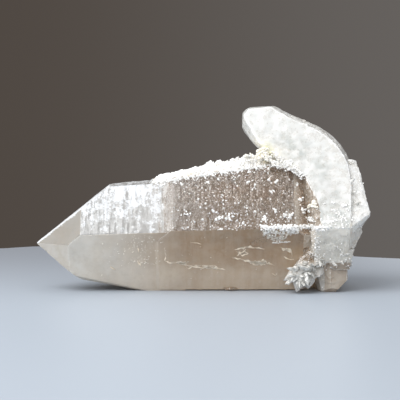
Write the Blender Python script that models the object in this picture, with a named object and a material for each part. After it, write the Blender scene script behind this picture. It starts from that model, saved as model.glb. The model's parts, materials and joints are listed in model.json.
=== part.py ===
"""Double-terminated smoky quartz specimen: one large prismatic crystal with a point at each end,
lying on a prism face, with a curved milky crystal, a parallel overgrowth and several small
crystals grown into its right-hand end. Everything has grown together, so it is one solid.

Units: the sizes below are millimetres and are written to the meshes in metres.
X runs along the main crystal, right is +X, +Y is away from the viewer, +Z is up, and the
specimen rests on Z = 0.
"""

import math

import bmesh
import bpy
from mathutils import Matrix, Vector

MM = 0.001

# Moves the growth coordinates used below so that the origin is the bottom centre of the box.
SHIFT = Vector((-0.793, -0.080, 0.0))

# Quartz: a pyramid face's normal leans 51.8 degrees from the long axis.
RHOMB_ALONG = math.cos(math.radians(51.8))
RHOMB_ACROSS = math.sin(math.radians(51.8))
C30, S30 = math.cos(math.radians(30.0)), 0.5

# Prism faces of the main crystal, as the direction each one looks in the YZ plane.
TOP = (0.0, 1.0)
FRONT_UP = (-C30, S30)
FRONT_LOW = (-0.895, -0.445)  # a little steeper than its fellows
BOTTOM = (0.0, -1.0)
BACK_LOW = (C30, -S30)
BACK_UP = (C30, S30)
AROUND = (TOP, FRONT_UP, FRONT_LOW, BOTTOM, BACK_LOW, BACK_UP)

LEFT_TIP = (-45.2, -5.0, 13.0)
RIGHT_TIP = (45.3, 0.6, 14.8)
FRONT_EDGE = (-31.8, -14.9, 16.2)
LATER_EDGE = (-13.5, -15.35, 17.2)
BACK_EDGE = (0.0, 16.8, 17.0)
LATER_BACK_EDGE = (0.0, 17.4, 17.4)
# Where the top face gives way to the pyramid face over it, under the curved crystal.
TOP_BREAK = (24.6, 0.0, 35.65)

OBJECT_NAME = "quartz_crystal"
SMOKY = (0.62, 0.52, 0.42, 1.0)


def clear_scene():
    for obj in list(bpy.data.objects):
        bpy.data.objects.remove(obj, do_unlink=True)
    for mesh in list(bpy.data.meshes):
        bpy.data.meshes.remove(mesh)
    for collection in list(bpy.data.collections):
        bpy.data.collections.remove(collection)


def mesh_object(name, bm, collection):
    """Turns bm, in millimetres of growth coordinates, into an object in metres."""
    bmesh.ops.recalc_face_normals(bm, faces=bm.faces)
    bm.transform(Matrix.Scale(MM, 4) @ Matrix.Translation(SHIFT))
    mesh = bpy.data.meshes.new(name)
    bm.to_mesh(mesh)
    bm.free()
    obj = bpy.data.objects.new(name, mesh)
    collection.objects.link(obj)
    return obj


def trim(bm, normal, point):
    """Cuts off all of a convex solid that lies past the plane, and closes it with a flat face."""
    geom = bm.verts[:] + bm.edges[:] + bm.faces[:]
    bmesh.ops.bisect_plane(
        bm, geom=geom, dist=1e-5, plane_co=point, plane_no=normal, clear_outer=True
    )
    rim = [edge for edge in bm.edges if edge.is_boundary]
    if rim:
        bmesh.ops.contextual_create(bm, geom=rim)
    bmesh.ops.dissolve_degenerate(bm, dist=1e-4, edges=bm.edges)


def faceted(name, collection, centre, reach, planes):
    """A cube of half-side reach, trimmed by each (normal, point) plane in turn."""
    bm = bmesh.new()
    bmesh.ops.create_cube(bm, size=2.0 * reach, matrix=Matrix.Translation(centre))
    for normal, point in planes:
        trim(bm, Vector(normal).normalized(), Vector(point))
    return mesh_object(name, bm, collection)


def rhomb(around, side, tip, cut_back=0.0):
    """The pyramid face over one prism face, at side -1 (left) or +1 (right), through the tip."""
    normal = Vector(
        (side * RHOMB_ALONG, RHOMB_ACROSS * around[0], RHOMB_ACROSS * around[1])
    )
    return normal, Vector(tip) - normal * cut_back


def prism_face(around, slope_deg=0.0, rise_deg=0.0):
    """A prism face's direction, turned by slope_deg toward the left end."""
    lean = math.sin(math.radians(slope_deg))
    return Vector((-lean, around[0], around[1] + math.sin(math.radians(rise_deg))))


def crystal(name, collection, tip, axis, radius, length, flat=1.0, spin=0.0, uneven=()):
    """A six-sided crystal with its point at tip, grown along axis. flat squeezes it across."""
    bm = bmesh.new()
    bmesh.ops.create_cone(
        bm,
        cap_ends=True,
        segments=6,
        radius1=radius,
        radius2=radius,
        depth=length,
        matrix=Matrix.Translation((0.0, 0.0, -length / 2.0)),
    )
    for i in range(6):
        angle = math.radians(60.0 * i + 30.0)
        back = uneven[i] if i < len(uneven) else 0.0
        normal = Vector(
            (
                RHOMB_ACROSS * math.cos(angle),
                RHOMB_ACROSS * math.sin(angle),
                RHOMB_ALONG,
            )
        )
        trim(bm, normal, -normal * back)
    turn = Vector(axis).normalized().to_track_quat("Z", "Y").to_matrix().to_4x4()
    bm.transform(
        Matrix.Translation(tip)
        @ turn
        @ Matrix.Rotation(math.radians(spin), 4, "Z")
        @ Matrix.Diagonal((1.0, flat, 1.0, 1.0))
    )
    return mesh_object(name, bm, collection)


# ---------------------------------------------------------------- the main crystal


def main_crystal(collection):
    """The first-grown part: all of the left point, and the prism as far as the step."""
    planes = [
        (prism_face(FRONT_UP, 0.95), FRONT_EDGE),
        (prism_face(FRONT_LOW, -0.75), FRONT_EDGE),
        (prism_face(TOP, 3.4), (-24.5, 0.0, 28.8)),
        ((0.0, 0.0, -1.0), (0.0, 0.0, 0.0)),
        (prism_face(BACK_UP, 1.0), BACK_EDGE),
        (prism_face(BACK_LOW, 0.5), BACK_EDGE),
        ((-0.190, 0.0, -0.982), (-16.2, 0.0, 0.0)),
        ((-0.15, -0.42, -0.895), (-14.5, -6.6, 0.0)),
        rhomb(TOP, -1, LEFT_TIP),
        rhomb(FRONT_UP, -1, LEFT_TIP),
        rhomb(FRONT_LOW, -1, LEFT_TIP),
        rhomb(BOTTOM, -1, LEFT_TIP),
        rhomb(BACK_LOW, -1, LEFT_TIP, 0.3),
        rhomb(BACK_UP, -1, LEFT_TIP),
        ((1.0, 0.0, 0.0), (-4.0, 0.0, 0.0)),
    ]
    return faceted(OBJECT_NAME, collection, (0.0, 0.0, 15.0), 60.0, planes)


def later_growth(collection):
    """The thicker layer over the right-hand part. It starts in low pyramid-face steps, one on
    each prism face, and ends in the right point."""
    planes = [
        (prism_face(FRONT_UP, 0.75), LATER_EDGE),
        (prism_face(FRONT_LOW, -0.55), LATER_EDGE),
        (prism_face(TOP, 8.5), (20.9, 0.0, 35.1)),
        ((0.0, 0.0, -1.0), (0.0, 0.0, 0.35)),
        (prism_face(BACK_UP, 1.0), LATER_BACK_EDGE),
        (prism_face(BACK_LOW, 0.5), LATER_BACK_EDGE),
        rhomb(FRONT_UP, -1, (-8.0, -15.35, 17.2)),
        rhomb(FRONT_LOW, -1, (-11.4, -15.35, 17.2)),
        rhomb(TOP, -1, (-13.0, 0.0, 30.2)),
        rhomb(BACK_UP, -1, (-16.5, 17.4, 17.4)),
        rhomb(BACK_LOW, -1, (-6.0, 17.4, 17.4)),
        rhomb(TOP, 1, TOP_BREAK),
        rhomb(FRONT_UP, 1, RIGHT_TIP),
        rhomb(FRONT_LOW, 1, RIGHT_TIP, 0.6),
        ((0.80, 0.0, -0.60), RIGHT_TIP),
        rhomb(BACK_LOW, 1, RIGHT_TIP, 0.5),
        rhomb(BACK_UP, 1, RIGHT_TIP),
    ]
    return faceted("later_growth", collection, (0.0, 0.0, 15.0), 60.0, planes)


# ---------------------------------------------------------------- the curved milky crystal

# The centre line of its front face, from the root up: X, distance up the sloping face, half
# width, and how far the ridge behind stands out past the face on its outer and inner sides.
HORN_STATIONS = (
    (36.3, 7.0, 4.1, 1.2, 0.2),
    (36.4, 14.0, 4.3, 1.1, 0.2),
    (35.55, 20.5, 5.45, 1.1, 0.4),
    (34.0, 25.7, 6.3, 1.3, 0.8),
    (30.4, 29.8, 6.8, 1.3, 1.2),
    (25.6, 33.0, 6.5, 1.2, 1.4),
    (20.8, 36.2, 5.9, 1.1, 1.4),
    (16.4, 39.6, 5.6, 1.0, 1.2),
    (11.5, 43.4, 5.4, 0.8, 1.0),
)
HORN_STEPS = 3  # sections between one station and the next
HORN_FACE_AT = 24.3  # distance of the front face from the origin
HORN_DEPTHS = (0.0, 6.9, 13.2)  # how far back each outline stands: face, ridge, back
HORN_BACK_INSET = 1.2
# The flats that end it: (normal, point).
HORN_END = (
    ((-0.06, 0.0, 1.0), (17.0, 8.0, 50.15)),
    ((-0.70, 0.0, 0.71), (12.6, 7.0, 48.9)),
    ((-1.0, 0.0, 0.04), (11.9, 7.0, 46.0)),
    ((-0.876, -0.41, -0.25), (12.2, -0.6, 47.6)),
    ((-0.86, -0.06, -0.50), (13.5, 3.2, 41.9)),
)


def spline(rows, steps):
    """Catmull-Rom points through the rows, each row any number of values."""
    out = []
    for i in range(len(rows) - 1):
        before, after = rows[max(i - 1, 0)], rows[min(i + 2, len(rows) - 1)]
        for k in range(steps):
            t = k / steps
            out.append(
                tuple(
                    0.5
                    * (
                        2.0 * b
                        + (c - a) * t
                        + (2.0 * a - 5.0 * b + 4.0 * c - d) * t * t
                        + (3.0 * b - a - 3.0 * c + d) * t * t * t
                    )
                    for a, b, c, d in zip(before, rows[i], rows[i + 1], after)
                )
            )
    out.append(rows[-1])
    return out


def horn(collection):
    """A bent six-sided crystal: a flat face, a ridge standing out round it, and a flat back."""
    out = Vector((0.0, -C30, S30))
    up = Vector((0.0, S30, C30))
    sections = spline(HORN_STATIONS, HORN_STEPS)
    last = len(sections) - 1
    bm = bmesh.new()
    rings = []
    for i, (x, s, half, outer, inner) in enumerate(sections):
        x0, s0 = sections[max(i - 1, 0)][:2]
        x1, s1 = sections[min(i + 1, last)][:2]
        along = Vector((x1 - x0, s1 - s0)).normalized()
        side = Vector((along.y, -along.x))
        ring = []
        # Counter-clockwise round the section: outer front, outer ridge, outer back, and back.
        for grow, back, way in (
            (0.0, 0, 1),
            (outer, 1, 1),
            (-HORN_BACK_INSET, 2, 1),
            (-HORN_BACK_INSET, 2, -1),
            (inner, 1, -1),
            (0.0, 0, -1),
        ):
            flat = Vector((x, s)) + side * way * (half + grow)
            point = Vector((flat.x, 0.0, 0.0)) + up * flat.y + out * HORN_FACE_AT
            ring.append(bm.verts.new(point + Vector((0.0, HORN_DEPTHS[back], 0.0))))
        rings.append(ring)
    bm.faces.new(rings[0])
    bm.faces.new(list(reversed(rings[-1])))
    for low, high in zip(rings, rings[1:]):
        for i in range(6):
            j = (i + 1) % 6
            bm.faces.new((low[i], high[i], high[j], low[j]))
    bmesh.ops.recalc_face_normals(bm, faces=bm.faces)
    for normal, point in HORN_END:
        trim(bm, Vector(normal).normalized(), Vector(point))
    return mesh_object("horn", bm, collection)


# ---------------------------------------------------------------- the right-hand group


def right_group(collection):
    """The parallel overgrowth, and the small crystals packed round the right end."""
    made = []
    overgrowth = [
        ((0.0, -C30, S30), (33.7, -17.5, 18.1)),
        ((0.0, -C30, -S30), (33.7, -17.5, 18.1)),
        ((-0.97, -0.22, -0.05), (30.5, -13.0, 13.0)),
        ((0.90, -0.36, -0.25), (40.1, -14.6, 13.0)),
        ((0.618, -0.681, 0.393), (42.2, -11.6, 25.6)),
        ((0.80, 0.05, -0.60), (44.2, -10.0, 14.9)),
        ((0.95, 0.0, 0.30), (44.4, -10.0, 16.8)),
        ((0.25, 0.0, 0.97), (40.0, 0.0, 31.5)),
        ((0.0, 0.0, -1.0), (0.0, 0.0, 8.3)),
        ((0.2, 0.98, 0.0), (40.0, 6.0, 0.0)),
    ]
    made.append(faceted("overgrowth", collection, (38.0, -4.0, 18.0), 30.0, overgrowth))
    lip = [
        ((0.0, -C30, -S30), (33.7, -17.3, 18.1)),
        ((-0.70, -0.30, -0.65), (36.4, -11.0, 6.6)),
        ((0.618, -0.681, -0.393), (40.0, -11.4, 8.0)),
        ((0.0, 0.1, -1.0), (39.0, -10.0, 6.2)),
        ((0.0, 0.0, 1.0), (0.0, 0.0, 12.0)),
        ((0.0, 1.0, 0.0), (0.0, 0.0, 0.0)),
        ((1.0, 0.0, -0.2), (41.0, 0.0, 8.0)),
    ]
    made.append(faceted("overgrowth_lip", collection, (38.0, -8.0, 9.0), 20.0, lip))
    side = [
        ((0.985, 0.08, 0.150), (45.1, -9.0, 25.4)),
        ((0.424, -0.772, 0.473), (44.2, -8.9, 25.0)),
        ((-0.10, -0.93, 0.35), (42.0, -7.6, 25.0)),
        ((0.569, -0.793, -0.168), (46.3, -9.6, 21.8)),
        ((0.617, 0.498, -0.593), (46.5, -9.0, 21.6)),
        ((-0.478, -0.264, -0.859), (41.5, -8.0, 15.6)),
        ((-0.145, -0.870, -0.487), (42.5, -9.0, 16.6)),
        ((0.485, 0.870, -0.067), (44.0, 2.6, 26.0)),
        ((-0.424, 0.772, -0.473), (40.0, 6.0, 26.0)),
        ((0.22, 0.20, 0.95), (42.4, -1.0, 35.3)),
        ((-1.0, 0.0, 0.0), (33.0, 0.0, 0.0)),
    ]
    made.append(faceted("side_crystal", collection, (42.0, 0.0, 25.0), 24.0, side))
    shoulder = [
        ((0.376, -0.761, 0.530), (46.1, -12.2, 21.9)),
        ((0.729, -0.505, -0.463), (46.1, -12.2, 21.9)),
        ((0.311, 0.576, -0.756), (41.56, -14.07, 16.78)),
        ((0.980, 0.030, 0.190), (45.3, -9.0, 25.4)),
        ((0.250, 0.150, 0.950), (42.4, -4.0, 34.0)),
        ((0.0, -C30, S30), (40.0, -C30 * 23.9, S30 * 23.9)),
        ((0.0, -C30, -S30), (33.7, -17.2, 18.1)),
        ((-1.0, 0.0, 0.0), (38.4, 0.0, 0.0)),
        ((0.0, 1.0, 0.1), (42.0, 1.5, 25.0)),
    ]
    made.append(faceted("shoulder", collection, (42.0, -6.0, 25.0), 20.0, shoulder))
    foot = [
        ((-0.45, -0.89, 0.0), (35.6, -10.6, 4.0)),
        ((0.22, -0.97, 0.05), (35.6, -10.6, 4.0)),
        ((1.0, -0.05, 0.0), (40.3, -8.0, 4.0)),
        ((0.72, 0.0, -0.69), (40.3, -8.0, 3.4)),
        ((-0.9, -0.2, -0.2), (32.6, -8.0, 2.0)),
        ((0.0, 0.0, -1.0), (0.0, 0.0, 0.0)),
        ((0.0, -0.6, -0.8), (36.0, -9.9, 0.6)),
        ((0.0, 0.0, 1.0), (0.0, 0.0, 10.0)),
        ((0.60, 0.80, -0.10), (39.2, -0.6, 4.0)),
        ((-0.20, 0.98, 0.0), (36.0, 2.2, 4.0)),
    ]
    made.append(faceted("foot_crystal", collection, (36.0, -4.0, 5.0), 20.0, foot))
    # (name, tip, axis, radius, length, flat, spin, unevenness of its six pyramid faces)
    small = (
        ("blade_a", (22.2, -12.9, 3.6), (-0.86, -0.28, -0.42), 3.0, 14.0, 0.62, 20.0, (0.0, 0.5, 0.2)),
        ("blade_b", (25.7, -12.6, 0.0), (-0.30, -0.26, -0.92), 2.9, 12.0, 0.70, 0.0, (0.3, 0.0, 0.6)),
        ("blade_c", (29.2, -11.8, 0.7), (0.02, -0.20, -0.98), 2.5, 12.0, 0.80, 15.0, (0.0, 0.4, 0.0, 0.3)),
        ("blade_d", (28.0, -15.2, 7.4), (-0.35, -0.80, 0.05), 1.9, 8.0, 0.80, 40.0, (0.2, 0.0, 0.3)),
        ("blade_e", (32.3, -13.0, 4.6), (0.20, -0.90, -0.40), 2.1, 8.0, 0.85, 5.0, (0.0, 0.3)),
        ("back_bud", (43.0, 3.6, 5.4), (0.75, -0.30, -0.55), 2.6, 9.0, 0.80, 12.0, (0.3, 0.0, 0.2)),
        ("edge_tip", (46.8, -9.2, 21.7), (0.90, -0.36, -0.10), 3.4, 11.0, 0.85, 24.0, (0.0, 0.3, 0.0, 0.5)),
        ("rear_a", (43.6, 9.6, 27.4), (0.76, 0.42, 0.50), 5.2, 22.0, 0.85, 12.0, (0.0, 0.6, 0.0, 0.4)),
        ("rear_b", (37.2, 16.0, 21.0), (0.55, 0.80, 0.22), 4.6, 18.0, 0.85, 10.0, (0.0, 0.5, 0.2)),
        ("rear_c", (41.4, 12.2, 12.4), (0.70, 0.66, -0.20), 4.3, 15.0, 0.82, 25.0, (0.4, 0.0, 0.3)),
        ("rear_d", (33.6, 12.6, 33.6), (0.28, 0.50, 0.80), 3.3, 16.0, 0.80, 5.0, (0.0, 0.4, 0.0, 0.3)),
        ("rear_e", (42.4, 4.4, 19.6), (0.93, 0.30, 0.05), 3.0, 12.0, 0.80, 30.0, (0.2, 0.0, 0.5)),
        ("rear_f", (31.0, 17.6, 14.6), (0.30, 0.94, -0.10), 2.4, 8.0, 0.85, 8.0, (0.0, 0.3)),
    )  # fmt: skip
    for name, tip, axis, radius, length, flat, spin, uneven in small:
        made.append(
            crystal(name, collection, tip, axis, radius, length, flat, spin, uneven)
        )
    return made


# ---------------------------------------------------------------- crust and low bumps

# The sugary crust lying along the top face, thicker toward the curved crystal.
CRUST_FROM, CRUST_TO = (-13.0, -7.0), (20.5, 8.6)
CRUST_CELLS = (19, 9)
CRUST_THICK = ((-13.0, 0.35), (-6.0, 0.9), (0.0, 1.15), (8.0, 1.5), (16.0, 2.0), (21.0, 1.4))
# Its knobs: (X, Y, Z, half width, half depth, half height).
CRUST_KNOBS = (
    (5.3, -0.6, 33.9, 1.3, 1.4, 1.6),
    (9.2, -0.8, 34.6, 1.2, 1.3, 1.5),
    (12.3, -1.6, 34.9, 1.4, 1.5, 2.0),
    (14.2, -1.2, 35.6, 1.5, 1.5, 2.3),
    (17.4, -2.6, 35.6, 1.6, 1.5, 1.5),
    (-1.6, -5.0, 32.0, 1.8, 1.6, 0.9),
    (3.0, 4.4, 33.4, 1.7, 1.5, 1.4),
    (10.6, 5.2, 34.5, 1.5, 1.6, 1.5),
    (18.2, -3.6, 37.3, 2.6, 2.6, 2.3),
)
# A low place that touches the table, under the prism.
LOW_BUMPS = ((8.4, -5.0, 0.6, 3.2, 3.4, 0.6),)


def top_plane(x):
    """Height of the later growth's top face."""
    return 35.1 - (20.9 - x) * math.tan(math.radians(8.5))


def crust_thickness(x):
    for (x0, t0), (x1, t1) in zip(CRUST_THICK, CRUST_THICK[1:]):
        if x <= x1:
            return t0 + (t1 - t0) * (x - x0) / (x1 - x0)
    return CRUST_THICK[-1][1]


def crust_bed(collection):
    """A grid over the top face, raised in lumps, and given a flat underside in the crystal."""
    bm = bmesh.new()
    across, deep = CRUST_CELLS
    bmesh.ops.create_grid(bm, x_segments=across, y_segments=deep, size=0.5)
    for vert in bm.verts:
        u, v = vert.co.x + 0.5, vert.co.y + 0.5
        i, j = round(u * across), round(v * deep)
        jitter = math.sin(12.9898 * i + 78.233 * j) * 43758.5453
        jitter -= math.floor(jitter)
        wander = math.sin(3.1 * i + 1.7 * j) * 0.30
        x = CRUST_FROM[0] + (CRUST_TO[0] - CRUST_FROM[0]) * u + wander
        y = CRUST_FROM[1] + 0.13 * (x + 13.0) * (1.0 - v) * 0.6
        y += (CRUST_TO[1] - CRUST_FROM[1]) * v + 0.3 * math.cos(2.3 * i + 0.9 * j)
        rim = min(i, j, across - i, deep - j)
        if rim == 0:
            height = -0.3
        else:
            height = crust_thickness(x) * (0.45 + 0.75 * jitter)
        vert.co = Vector((x, y, top_plane(x) + height))
    made = bmesh.ops.extrude_face_region(bm, geom=bm.faces[:])
    for vert in (g for g in made["geom"] if isinstance(g, bmesh.types.BMVert)):
        vert.co.z = top_plane(vert.co.x) - 2.6
    return mesh_object("crust_bed", bm, collection)


def knob(name, collection, centre, half, spin):
    bm = bmesh.new()
    bmesh.ops.create_icosphere(bm, subdivisions=1, radius=1.0)
    bm.transform(
        Matrix.Translation(centre)
        @ Matrix.Rotation(math.radians(spin), 4, "Z")
        @ Matrix.Diagonal((half[0], half[1], half[2], 1.0))
    )
    return mesh_object(name, bm, collection)


def crust(collection):
    made = [crust_bed(collection)]
    for i, (x, y, z, a, b, c) in enumerate(CRUST_KNOBS):
        made.append(knob(f"crust_{i}", collection, (x, y, z), (a, b, c), 23.0 * i))
    for i, (x, y, z, a, b, c) in enumerate(LOW_BUMPS):
        made.append(knob(f"low_{i}", collection, (x, y, z), (a, b, c), 0.0))
    return made


def smoky_material():
    material = bpy.data.materials.new("smoky_quartz")
    material.use_nodes = True
    shader = material.node_tree.nodes["Principled BSDF"]
    shader.inputs["Base Color"].default_value = SMOKY
    shader.inputs["Roughness"].default_value = 0.12
    shader.inputs["IOR"].default_value = 1.544
    shader.inputs["Transmission Weight"].default_value = 0.6
    material.diffuse_color = SMOKY
    return material


def build():
    clear_scene()
    shown = bpy.data.collections.new("quartz_specimen")
    helpers = bpy.data.collections.new("grown_into_it")
    bpy.context.scene.collection.children.link(shown)
    bpy.context.scene.collection.children.link(helpers)
    helpers.hide_render = True

    body = main_crystal(shown)
    body.data.materials.append(smoky_material())
    parts = [later_growth(helpers), horn(helpers)] + right_group(helpers) + crust(helpers)
    for part in parts:
        part.hide_render = True
        part.display_type = "WIRE"
        join = body.modifiers.new("join_" + part.name, "BOOLEAN")
        join.operation = "UNION"
        join.solver = "EXACT"
        join.object = part


build()
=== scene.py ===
"""The looks of the double-terminated smoky quartz specimen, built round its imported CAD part.

Lengths written as plain numbers are millimetres in growth coordinates, which are the frame's
coordinates with SHIFT taken away. Everything is written to meshes in metres, in the frame.
"""

import json
import math

import bpy
import numpy as np
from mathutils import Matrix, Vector
from mathutils.bvhtree import BVHTree

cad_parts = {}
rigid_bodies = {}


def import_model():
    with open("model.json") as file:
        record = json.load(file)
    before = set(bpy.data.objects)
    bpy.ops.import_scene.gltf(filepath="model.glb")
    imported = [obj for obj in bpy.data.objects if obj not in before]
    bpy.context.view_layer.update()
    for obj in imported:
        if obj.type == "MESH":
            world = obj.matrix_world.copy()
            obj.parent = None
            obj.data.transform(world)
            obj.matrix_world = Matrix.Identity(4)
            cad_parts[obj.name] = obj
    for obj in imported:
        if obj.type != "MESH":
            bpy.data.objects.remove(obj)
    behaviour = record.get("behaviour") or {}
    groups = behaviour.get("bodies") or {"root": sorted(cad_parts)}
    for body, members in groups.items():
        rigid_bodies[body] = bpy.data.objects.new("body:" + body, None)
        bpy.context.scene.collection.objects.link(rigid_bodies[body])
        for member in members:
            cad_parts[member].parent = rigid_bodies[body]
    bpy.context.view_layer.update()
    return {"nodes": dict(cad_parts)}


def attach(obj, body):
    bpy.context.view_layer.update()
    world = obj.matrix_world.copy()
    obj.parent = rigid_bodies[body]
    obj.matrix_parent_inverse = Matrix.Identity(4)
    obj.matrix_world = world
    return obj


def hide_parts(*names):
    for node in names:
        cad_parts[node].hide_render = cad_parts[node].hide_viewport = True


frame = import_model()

CAD_NODE = "quartz_crystal"

MM = 0.001
SHIFT = np.array((-0.793, -0.080, 0.0))
C30, S30 = math.cos(math.radians(30.0)), 0.5
IOR = 1.544

# ---------------------------------------------------------------- repeatable noise


def cell_value(ix, iy, iz, seed):
    """A fixed value from 0 to 1 for each whole-number cell."""
    h = (
        ix.astype(np.int64) * 374761393
        + iy.astype(np.int64) * 668265263
        + iz.astype(np.int64) * 1274126177
        + seed * 974634777
    ) & 0xFFFFFFFF
    h = ((h ^ (h >> 13)) * 1103515245 + 12345) & 0xFFFFFFFF
    h = ((h ^ (h >> 15)) * 1597334677) & 0xFFFFFFFF
    return (h ^ (h >> 16)) / 4294967295.0


def noise(p, seed=0):
    """Smooth noise from 0 to 1 with features about one unit across."""
    low = np.floor(p).astype(np.int64)
    t = p - low
    t = t * t * (3.0 - 2.0 * t)
    out = np.zeros(len(p))
    for dx in (0, 1):
        for dy in (0, 1):
            for dz in (0, 1):
                weight = (
                    (t[:, 0] if dx else 1 - t[:, 0])
                    * (t[:, 1] if dy else 1 - t[:, 1])
                    * (t[:, 2] if dz else 1 - t[:, 2])
                )
                out += weight * cell_value(
                    low[:, 0] + dx, low[:, 1] + dy, low[:, 2] + dz, seed
                )
    return out


def layered(p, seed=0, layers=3, fall=0.55):
    total, scale, out = 0.0, 1.0, np.zeros(len(p))
    for k in range(layers):
        weight = fall**k
        out += weight * noise(p * scale, seed + 17 * k)
        total += weight
        scale *= 2.03
    return out / total


def facets(p, seed, tilt=1.0):
    """Jostled cells about one unit across, each a flat facet leaning its own way, about 0 on average."""
    low = np.floor(p).astype(np.int64)
    best, out = np.full(len(p), 1e9), np.zeros(len(p))
    for dx in (-1, 0, 1):
        for dy in (-1, 0, 1):
            for dz in (-1, 0, 1):
                cell = low + (dx, dy, dz)
                r = [cell_value(cell[:, 0], cell[:, 1], cell[:, 2], seed + k) for k in range(7)]
                away = p - (cell + np.stack(r[:3], 1))
                near = (away**2).sum(axis=1)
                height = (r[6] - 0.5) + tilt * (away * (np.stack(r[3:6], 1) - 0.5)).sum(axis=1)
                closer = near < best
                best = np.where(closer, near, best)
                out = np.where(closer, height, out)
    return out


def ramp(value, low, high):
    """0 below low, 1 above high, smooth between. It runs the other way if low is the larger."""
    t = np.clip((np.asarray(value, float) - low) / (high - low), 0.0, 1.0)
    return t * t * (3.0 - 2.0 * t)


# ---------------------------------------------------------------- the fine crystal mesh

# The flat faces of the two growth stages of the large crystal: (normal, point on it).
RHOMB_ALONG = math.cos(math.radians(51.8))
RHOMB_ACROSS = math.sin(math.radians(51.8))
FRONT_UP = (-C30, S30)
FRONT_LOW = (-0.895, -0.445)
FRONT_EDGE = (-31.8, -14.9, 16.2)
LATER_EDGE = (-13.5, -15.35, 17.2)
LEFT_TIP = (-45.2, -5.0, 13.0)
RIGHT_TIP = (45.3, 0.6, 14.8)


def leaning(around, degrees):
    return (-math.sin(math.radians(degrees)), around[0], around[1])


def pyramid(around, side):
    return (side * RHOMB_ALONG, RHOMB_ACROSS * around[0], RHOMB_ACROSS * around[1])


FACES = {
    "front_up": (leaning(FRONT_UP, 0.95), FRONT_EDGE),
    "front_low": (leaning(FRONT_LOW, -0.75), FRONT_EDGE),
    "top": (leaning((0.0, 1.0), 3.4), (-24.5, 0.0, 28.8)),
    "later_up": (leaning(FRONT_UP, 0.75), LATER_EDGE),
    "later_low": (leaning(FRONT_LOW, -0.55), LATER_EDGE),
    "later_top": (leaning((0.0, 1.0), 8.5), (20.9, 0.0, 35.1)),
    "left_top": (pyramid((0.0, 1.0), -1), LEFT_TIP),
    "left_up": (pyramid(FRONT_UP, -1), LEFT_TIP),
    "left_low": (pyramid(FRONT_LOW, -1), LEFT_TIP),
    "step_up": (pyramid(FRONT_UP, -1), (-8.0, -15.35, 17.2)),
    "step_low": (pyramid(FRONT_LOW, -1), (-11.4, -15.35, 17.2)),
    "step_top": (pyramid((0.0, 1.0), -1), (-13.0, 0.0, 30.2)),
    "right_up": (pyramid(FRONT_UP, 1), RIGHT_TIP),
    "right_top": (pyramid((0.0, 1.0), 1), (24.6, 0.0, 35.65)),
    "horn_front": ((0.0, -C30, S30), (0.0, -C30 * 24.3, S30 * 24.3)),
    "over_up": ((0.0, -C30, S30), (33.7, -17.5, 18.1)),
    "over_low": ((0.0, -C30, -S30), (33.7, -17.5, 18.1)),
    "shoulder_up": ((0.376, -0.761, 0.530), (46.1, -12.2, 21.9)),
    "shoulder_low": ((0.729, -0.505, -0.463), (46.1, -12.2, 21.9)),
}
SIDE_GROUP = ("horn_front", "over_up", "over_low", "shoulder_up", "shoulder_low")


def unit(v):
    v = np.asarray(v, float)
    return v / np.linalg.norm(v, axis=-1, keepdims=True)


def top_height(x):
    """Height of the later growth's top face."""
    return 35.1 - (20.9 - x) * math.tan(math.radians(8.5))


def cad_triangles():
    """The CAD node as one welded triangle mesh: points in growth millimetres, and faces."""
    mesh = frame["nodes"][CAD_NODE].data
    mesh.calc_loop_triangles()
    points = np.empty(len(mesh.vertices) * 3)
    mesh.vertices.foreach_get("co", points)
    faces = np.empty(len(mesh.loop_triangles) * 3, np.int64)
    mesh.loop_triangles.foreach_get("vertices", faces)
    points = points.reshape(-1, 3) / MM
    _, first, index = np.unique(
        np.round(points, 3), axis=0, return_index=True, return_inverse=True
    )
    faces = index.reshape(-1)[faces.reshape(-1, 3)]
    whole = (
        (faces[:, 0] != faces[:, 1])
        & (faces[:, 1] != faces[:, 2])
        & (faces[:, 0] != faces[:, 2])
    )
    return points[first] - SHIFT, faces[whole]


def face_normals(points, faces):
    a, b, c = (points[faces[:, i]] for i in range(3))
    cross = np.cross(b - a, c - a)
    size = np.linalg.norm(cross, axis=1)
    return cross / np.maximum(size, 1e-12)[:, None], size / 2.0


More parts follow.
